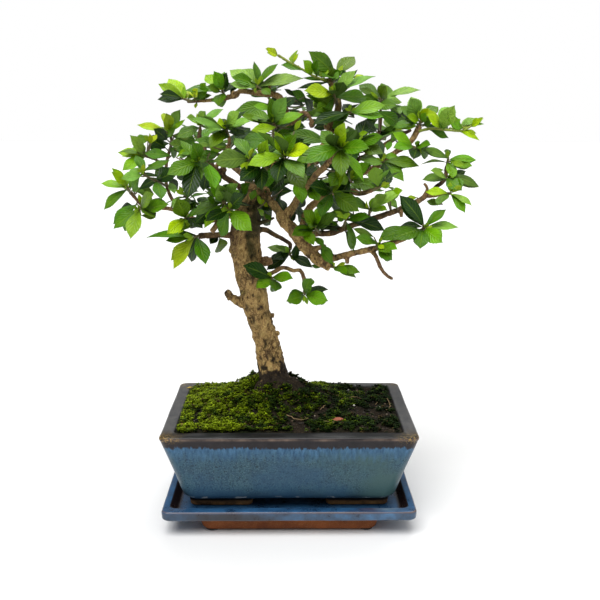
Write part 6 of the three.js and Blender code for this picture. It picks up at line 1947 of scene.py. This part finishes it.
def growSpray(spray, name, row, materials):
    node = "spray_" + name
    solid = cornersOf(node)
    stem = row["stem"]
    places = [alongSight(x, z, y) for x, z, y in stem]
    outward = places[-1] - places[0]
    points, faces, uvs = [], [], []
    thick, thin = leaf["shootRadii"]
    curve, radii = smoothCurve(places, [thick] + [thin] * (len(places) - 1), 1.2)
    curve = curve + 0.12 * np.column_stack([noiseAt(curve, 3, spray + shift) for shift in (0.1, 0.4, 0.7)])
    radii = radii * (1 + 0.35 * np.clip(noiseAt(curve, 1.6, spray + 0.9), -0.4, 0.8))
    addTube(points, faces, curve, radii, 9)
    further = [(freeLeaf(spray, leaf["furtherFrom"] + number, extra), extra[6])
               for number, extra in enumerate(row.get("more", []))]
    for (base, *_), _ in further:
        addTwig(points, faces, places, base)
    shootFaces = len(faces)
    shootPoints = len(points)
    uvs += [(0, 0)] * len(points)
    colors = [np.array(leaf["youngShoot" if name in leaf["young"] else "shoot"])] * len(points)

    def addLeaf(base, shape, letter, key):
        tip, across, up, width = shape
        addBlade(points, faces, uvs, base, tip, across, up, width, (spray, key))
        colors.extend([jittered(leaf["tones"][letter], spray, key)] * (len(points) - len(colors)))

    missing = 0
    leaves, letters = row["leaves"], row.get("tones", "")
    for number in range(len(leaves) + row.get("ruled", 0)):
        seen = leaves[number] if number < len(leaves) else None
        at = seen[0] if seen else 1 + number % (len(stem) - 1)
        base = leafBase(places, at, number)
        if seen:
            shape = placedLeaf(solid, lambda swing: seenLeaf(spray, number, base, stem[at][2], seen, swing))
        else:
            shape = placedLeaf(solid, lambda swing: ruledLeaf(spray, number, base, outward, swing))
        if shape is None:
            missing += 1
            if not seen:
                continue
            shape = seenLeaf(spray, number, base, stem[at][2], seen, 0)
            if not inBox(shape[0]):
                continue
        ruled = leaf["ruledTones"]
        letter = letters[number] if seen else ruled[int(len(ruled) * chance(spray, number, 7))]
        addLeaf(base + unit(shape[0] - base) * 0.5, shape, letter, number)
    for number, ((base, *shape), letter) in enumerate(further):
        if inBox(shape[0]) and inBox(base):
            addLeaf(base, shape, letter, leaf["furtherFrom"] + number)
    for number in range(leaf["innerLeaves"] if name in inner else 0):
        base = places[0] + (places[-1] - places[0]) * (0.15 + 0.7 * chance(spray, number, 41))
        shape = ruledLeaf(spray, leaf["innerFrom"] + number, base, outward, 0)
        if inBox(shape[0]):
            letter = leaf["innerTones"][number % len(leaf["innerTones"])]
            addLeaf(base, shape, letter, leaf["innerFrom"] + number)
    shortest, longest = leaf["youngLength"]
    for number, letter in enumerate(leaf["youngTones"]):
        spread = np.array([chance(spray, number, key) - 0.5 for key in (11, 12, 13)])
        ahead = unit(unit(outward) + 0.9 * spread * (2, 2, 1.4) + (0, 0, 0.35))
        length = shortest + (longest - shortest) * chance(spray, number, 14)
        tip = places[-1] + ahead * length
        if inBox(tip):
            across = unit(np.cross(ahead, (chance(spray, number, 15) - 0.5, -1,
                                           chance(spray, number, 16) - 0.2)))
            shape = (tip, across, unit(np.cross(ahead, across)), length * leaf["youngSlimness"])
            addLeaf(places[-1] + ahead * 0.3, shape, letter, leaf["youngFrom"] + number)
    piece = makePiece("leaves_" + name, np.clip(points, boxLow + 0.05, boxHigh - 0.05), faces,
                      materials, [node])
    mesh = piece.data
    mesh.polygons.foreach_set("material_index", [1] * shootFaces + [0] * (len(faces) - shootFaces))
    smoothByAngle(mesh, 55)
    addTones(mesh, "tone", np.array(colors))
    perBlade = 2 * len(leaf["stations"]) * leaf["columns"]
    beyond = np.arange(len(points)) - shootPoints
    addMask(mesh, "under", (beyond >= 0) & (beyond % perBlade >= perBlade // 2))
    corners = np.zeros(len(mesh.loops), np.int32)
    mesh.loops.foreach_get("vertex_index", corners)
    mesh.uv_layers.new(name="blade").data.foreach_set("uv", np.array(uvs, np.float32)[corners].ravel())
    return missing


leafMaterials = [makeLeafMaterial(), makeShootMaterial()]
missing = sum(growSpray(spray, name, row, leafMaterials)
              for spray, (name, row) in enumerate(sprays.items()))
print("leaves grown,", missing, "without a place")

# loose bits on the soil: crumbs, grains, a red pebble, rootlets and fallen scraps
litter = {
    "seed": 77,
    "offTrunk": 9,
    "dimming": (700.0, 4000.0, 0.5),
    "bump": (0.5, 0.0003),
    "lift": {"crumb": 0.35, "grain": 1.4, "pebble": 1.2, "rootlet": 1.5, "scrap": 1.7},
    "crumbs": 1500,
    "crumbSize": (0.25, 0.9),
    "crumbTones": [(0.020, 0.014, 0.009), (0.060, 0.040, 0.022), (0.130, 0.090, 0.050),
                   (0.300, 0.250, 0.190)],
    "crumbShares": [0.50, 0.30, 0.15, 0.05],
    "grains": [(-17.1, -27.5, 0.9), (40.9, 36.6, 1.1), (58.7, -2.7, 1.2), (42.1, -4.7, 0.8),
               (-53.9, -7.7, 0.9)],
    "grainTone": (0.78, 0.76, 0.66),
    "pebble": (30.4, -29.8, 3.1),
    "pebbleTone": (0.430, 0.130, 0.070),
    "rootlets": [
        [(25.5, 4.2), (31.4, 3.8), (34.5, -1.4)], [(36.7, 3.1), (44.2, 12.0), (48.9, 11.5), (50.8, 5.8)],
        [(24.0, -12.5), (21.8, -19.6), (19.5, -24.0)],
        [(-24.5, -30.2), (-24.8, -35.0), (-27.1, -39.8), (-35.0, -41.2), (-45.7, -37.1), (-51.0, -33.5)],
        [(65.0, 21.8), (66.0, 10.9), (65.8, -1.6), (62.8, -9.9)],
        [(27.5, -36.9), (21.0, -35.0), (16.0, -37.5)], [(53.0, 24.0), (60.0, 15.0), (57.0, 4.0)],
        [(-2.0, -33.0), (6.0, -36.0), (12.0, -33.0)], [(-62.0, 30.0), (-56.0, 36.0), (-48.0, 33.0)],
    ],
    "rootletRadius": 0.28,
    "rootletTone": (0.300, 0.200, 0.095),
    "scraps": [(-5.3, -15.3, 4.2, 0.3), (-70.0, 41.3, 4.5, 0.1), (-65.9, -37.3, 3.4, 1.3),
               (38.9, 43.4, 3.8, 2.2), (64.7, -21.2, 3.6, 0.9), (47.3, 29.6, 4.0, 2.6),
               (36.3, 44.4, 4.6, 0.2), (12.0, 34.0, 3.6, 1.9)],
    "scrapKey": 300,
    "scrapTones": [(0.620, 0.360, 0.035), (0.480, 0.330, 0.050), (0.330, 0.170, 0.060)],
}


def surfaceAt(x, y):
    point = np.array([[x, y, float(soilHeight(x, y))]])
    return point[0, 2] + lumpiness(point)[0]


# a rough lump: a twenty-sided body with its corners pushed in and out
def addLump(points, faces, centre, size, rng, flat=0.75):
    golden = (1 + 5 ** 0.5) / 2
    corners = np.array([(-1, golden, 0), (1, golden, 0), (-1, -golden, 0), (1, -golden, 0), (0, -1, golden),
                        (0, 1, golden), (0, -1, -golden), (0, 1, -golden), (golden, 0, -1), (golden, 0, 1),
                        (-golden, 0, -1), (-golden, 0, 1)]) / 1.9
    triangles = [(0, 11, 5), (0, 5, 1), (0, 1, 7), (0, 7, 10), (0, 10, 11), (1, 5, 9), (5, 11, 4),
                 (11, 10, 2), (10, 7, 6), (7, 1, 8), (3, 9, 4), (3, 4, 2), (3, 2, 6), (3, 6, 8), (3, 8, 9),
                 (4, 9, 5), (2, 4, 11), (6, 2, 10), (8, 6, 7), (9, 8, 1)]
    first = len(points)
    stretch = rng.uniform(0.7, 1.3, 3) * (1, 1, flat)
    turn = rng.uniform(0, math.pi)
    turned = corners * rng.uniform(0.8, 1.15, (12, 1)) * stretch
    spin = np.array([[math.cos(turn), -math.sin(turn), 0], [math.sin(turn), math.cos(turn), 0], [0, 0, 1]])
    points.extend(np.array(centre) + size * turned @ spin.T)
    faces.extend((first + a, first + b, first + c) for a, b, c in triangles)


def makeLitter():
    rng = np.random.default_rng(litter["seed"])
    material, tree, shader, marks = makeTonedMaterial("litter", *litter["dimming"], Roughness=0.85)
    addBump(tree, shader, marks["Height"], *litter["bump"])
    halfX, halfY = potInside(soil["edgeZ"], 3.0)
    lift = litter["lift"]
    points, faces, tones = [], [], []

    def toned(tone):
        tones.extend([np.array(tone)] * (len(points) - len(tones)))

    for _ in range(litter["crumbs"]):
        x, y = rng.uniform(-halfX, halfX), rng.uniform(-halfY, halfY)
        if math.hypot(x - soil["moundX"], y) < litter["offTrunk"]:
            continue
        size = rng.uniform(*litter["crumbSize"])
        addLump(points, faces, (x, y, surfaceAt(x, y) + lift["crumb"] * size), size, rng)
        tone = litter["crumbTones"][rng.choice(len(litter["crumbTones"]), p=litter["crumbShares"])]
        toned(np.array(tone) * rng.uniform(0.8, 1.2))
    for x, y, size in litter["grains"]:
        addLump(points, faces, (x, y, surfaceAt(x, y) + lift["grain"]), size, rng)
        toned(litter["grainTone"])
    x, y, size = litter["pebble"]
    addLump(points, faces, (x, y, surfaceAt(x, y) + lift["pebble"]), size, rng, flat=0.5)
    toned(litter["pebbleTone"])
    piece = makePiece("litter_crumbs", points, faces, [material], smooth=False)
    addTones(piece.data, "tone", np.array(tones))

    points, faces = [], []
    for course in litter["rootlets"]:
        places = [(x, y, surfaceAt(x, y) + lift["rootlet"]) for x, y in course]
        curve, _ = smoothCurve(places, [0] * len(places), 0.9)
        curve += np.column_stack([share * noiseAt(curve, 2.5, shift)
                                  for share, shift in ((1, 1.0), (1, 4.0), (0.5, 7.0))])
        radii = litter["rootletRadius"] * np.linspace(1.1, 0.6, len(curve))
        addTube(points, faces, curve, radii, 6)
    piece = makePiece("litter_rootlets", points, faces, [material])
    addTones(piece.data, "tone", np.tile(litter["rootletTone"], (len(points), 1)))

    points, faces, tones = [], [], []
    for number, (x, y, length, turn) in enumerate(litter["scraps"]):
        ahead = np.array((math.cos(turn), math.sin(turn), 0.15))
        across = np.array((-math.sin(turn), math.cos(turn), 0.25))
        start = np.array((x, y, surfaceAt(x, y) + lift["scrap"])) - ahead * length / 2
        up = unit(np.cross(ahead, across))
        addBlade(points, faces, [], start, start + ahead * length, unit(across), up, length * 0.42,
                 (litter["scrapKey"], number))
        toned(litter["scrapTones"][number % len(litter["scrapTones"])])
    piece = makePiece("litter_scraps", points, faces, [material])
    addTones(piece.data, "tone", np.array(tones))


makeLitter()
print("litter strewn")
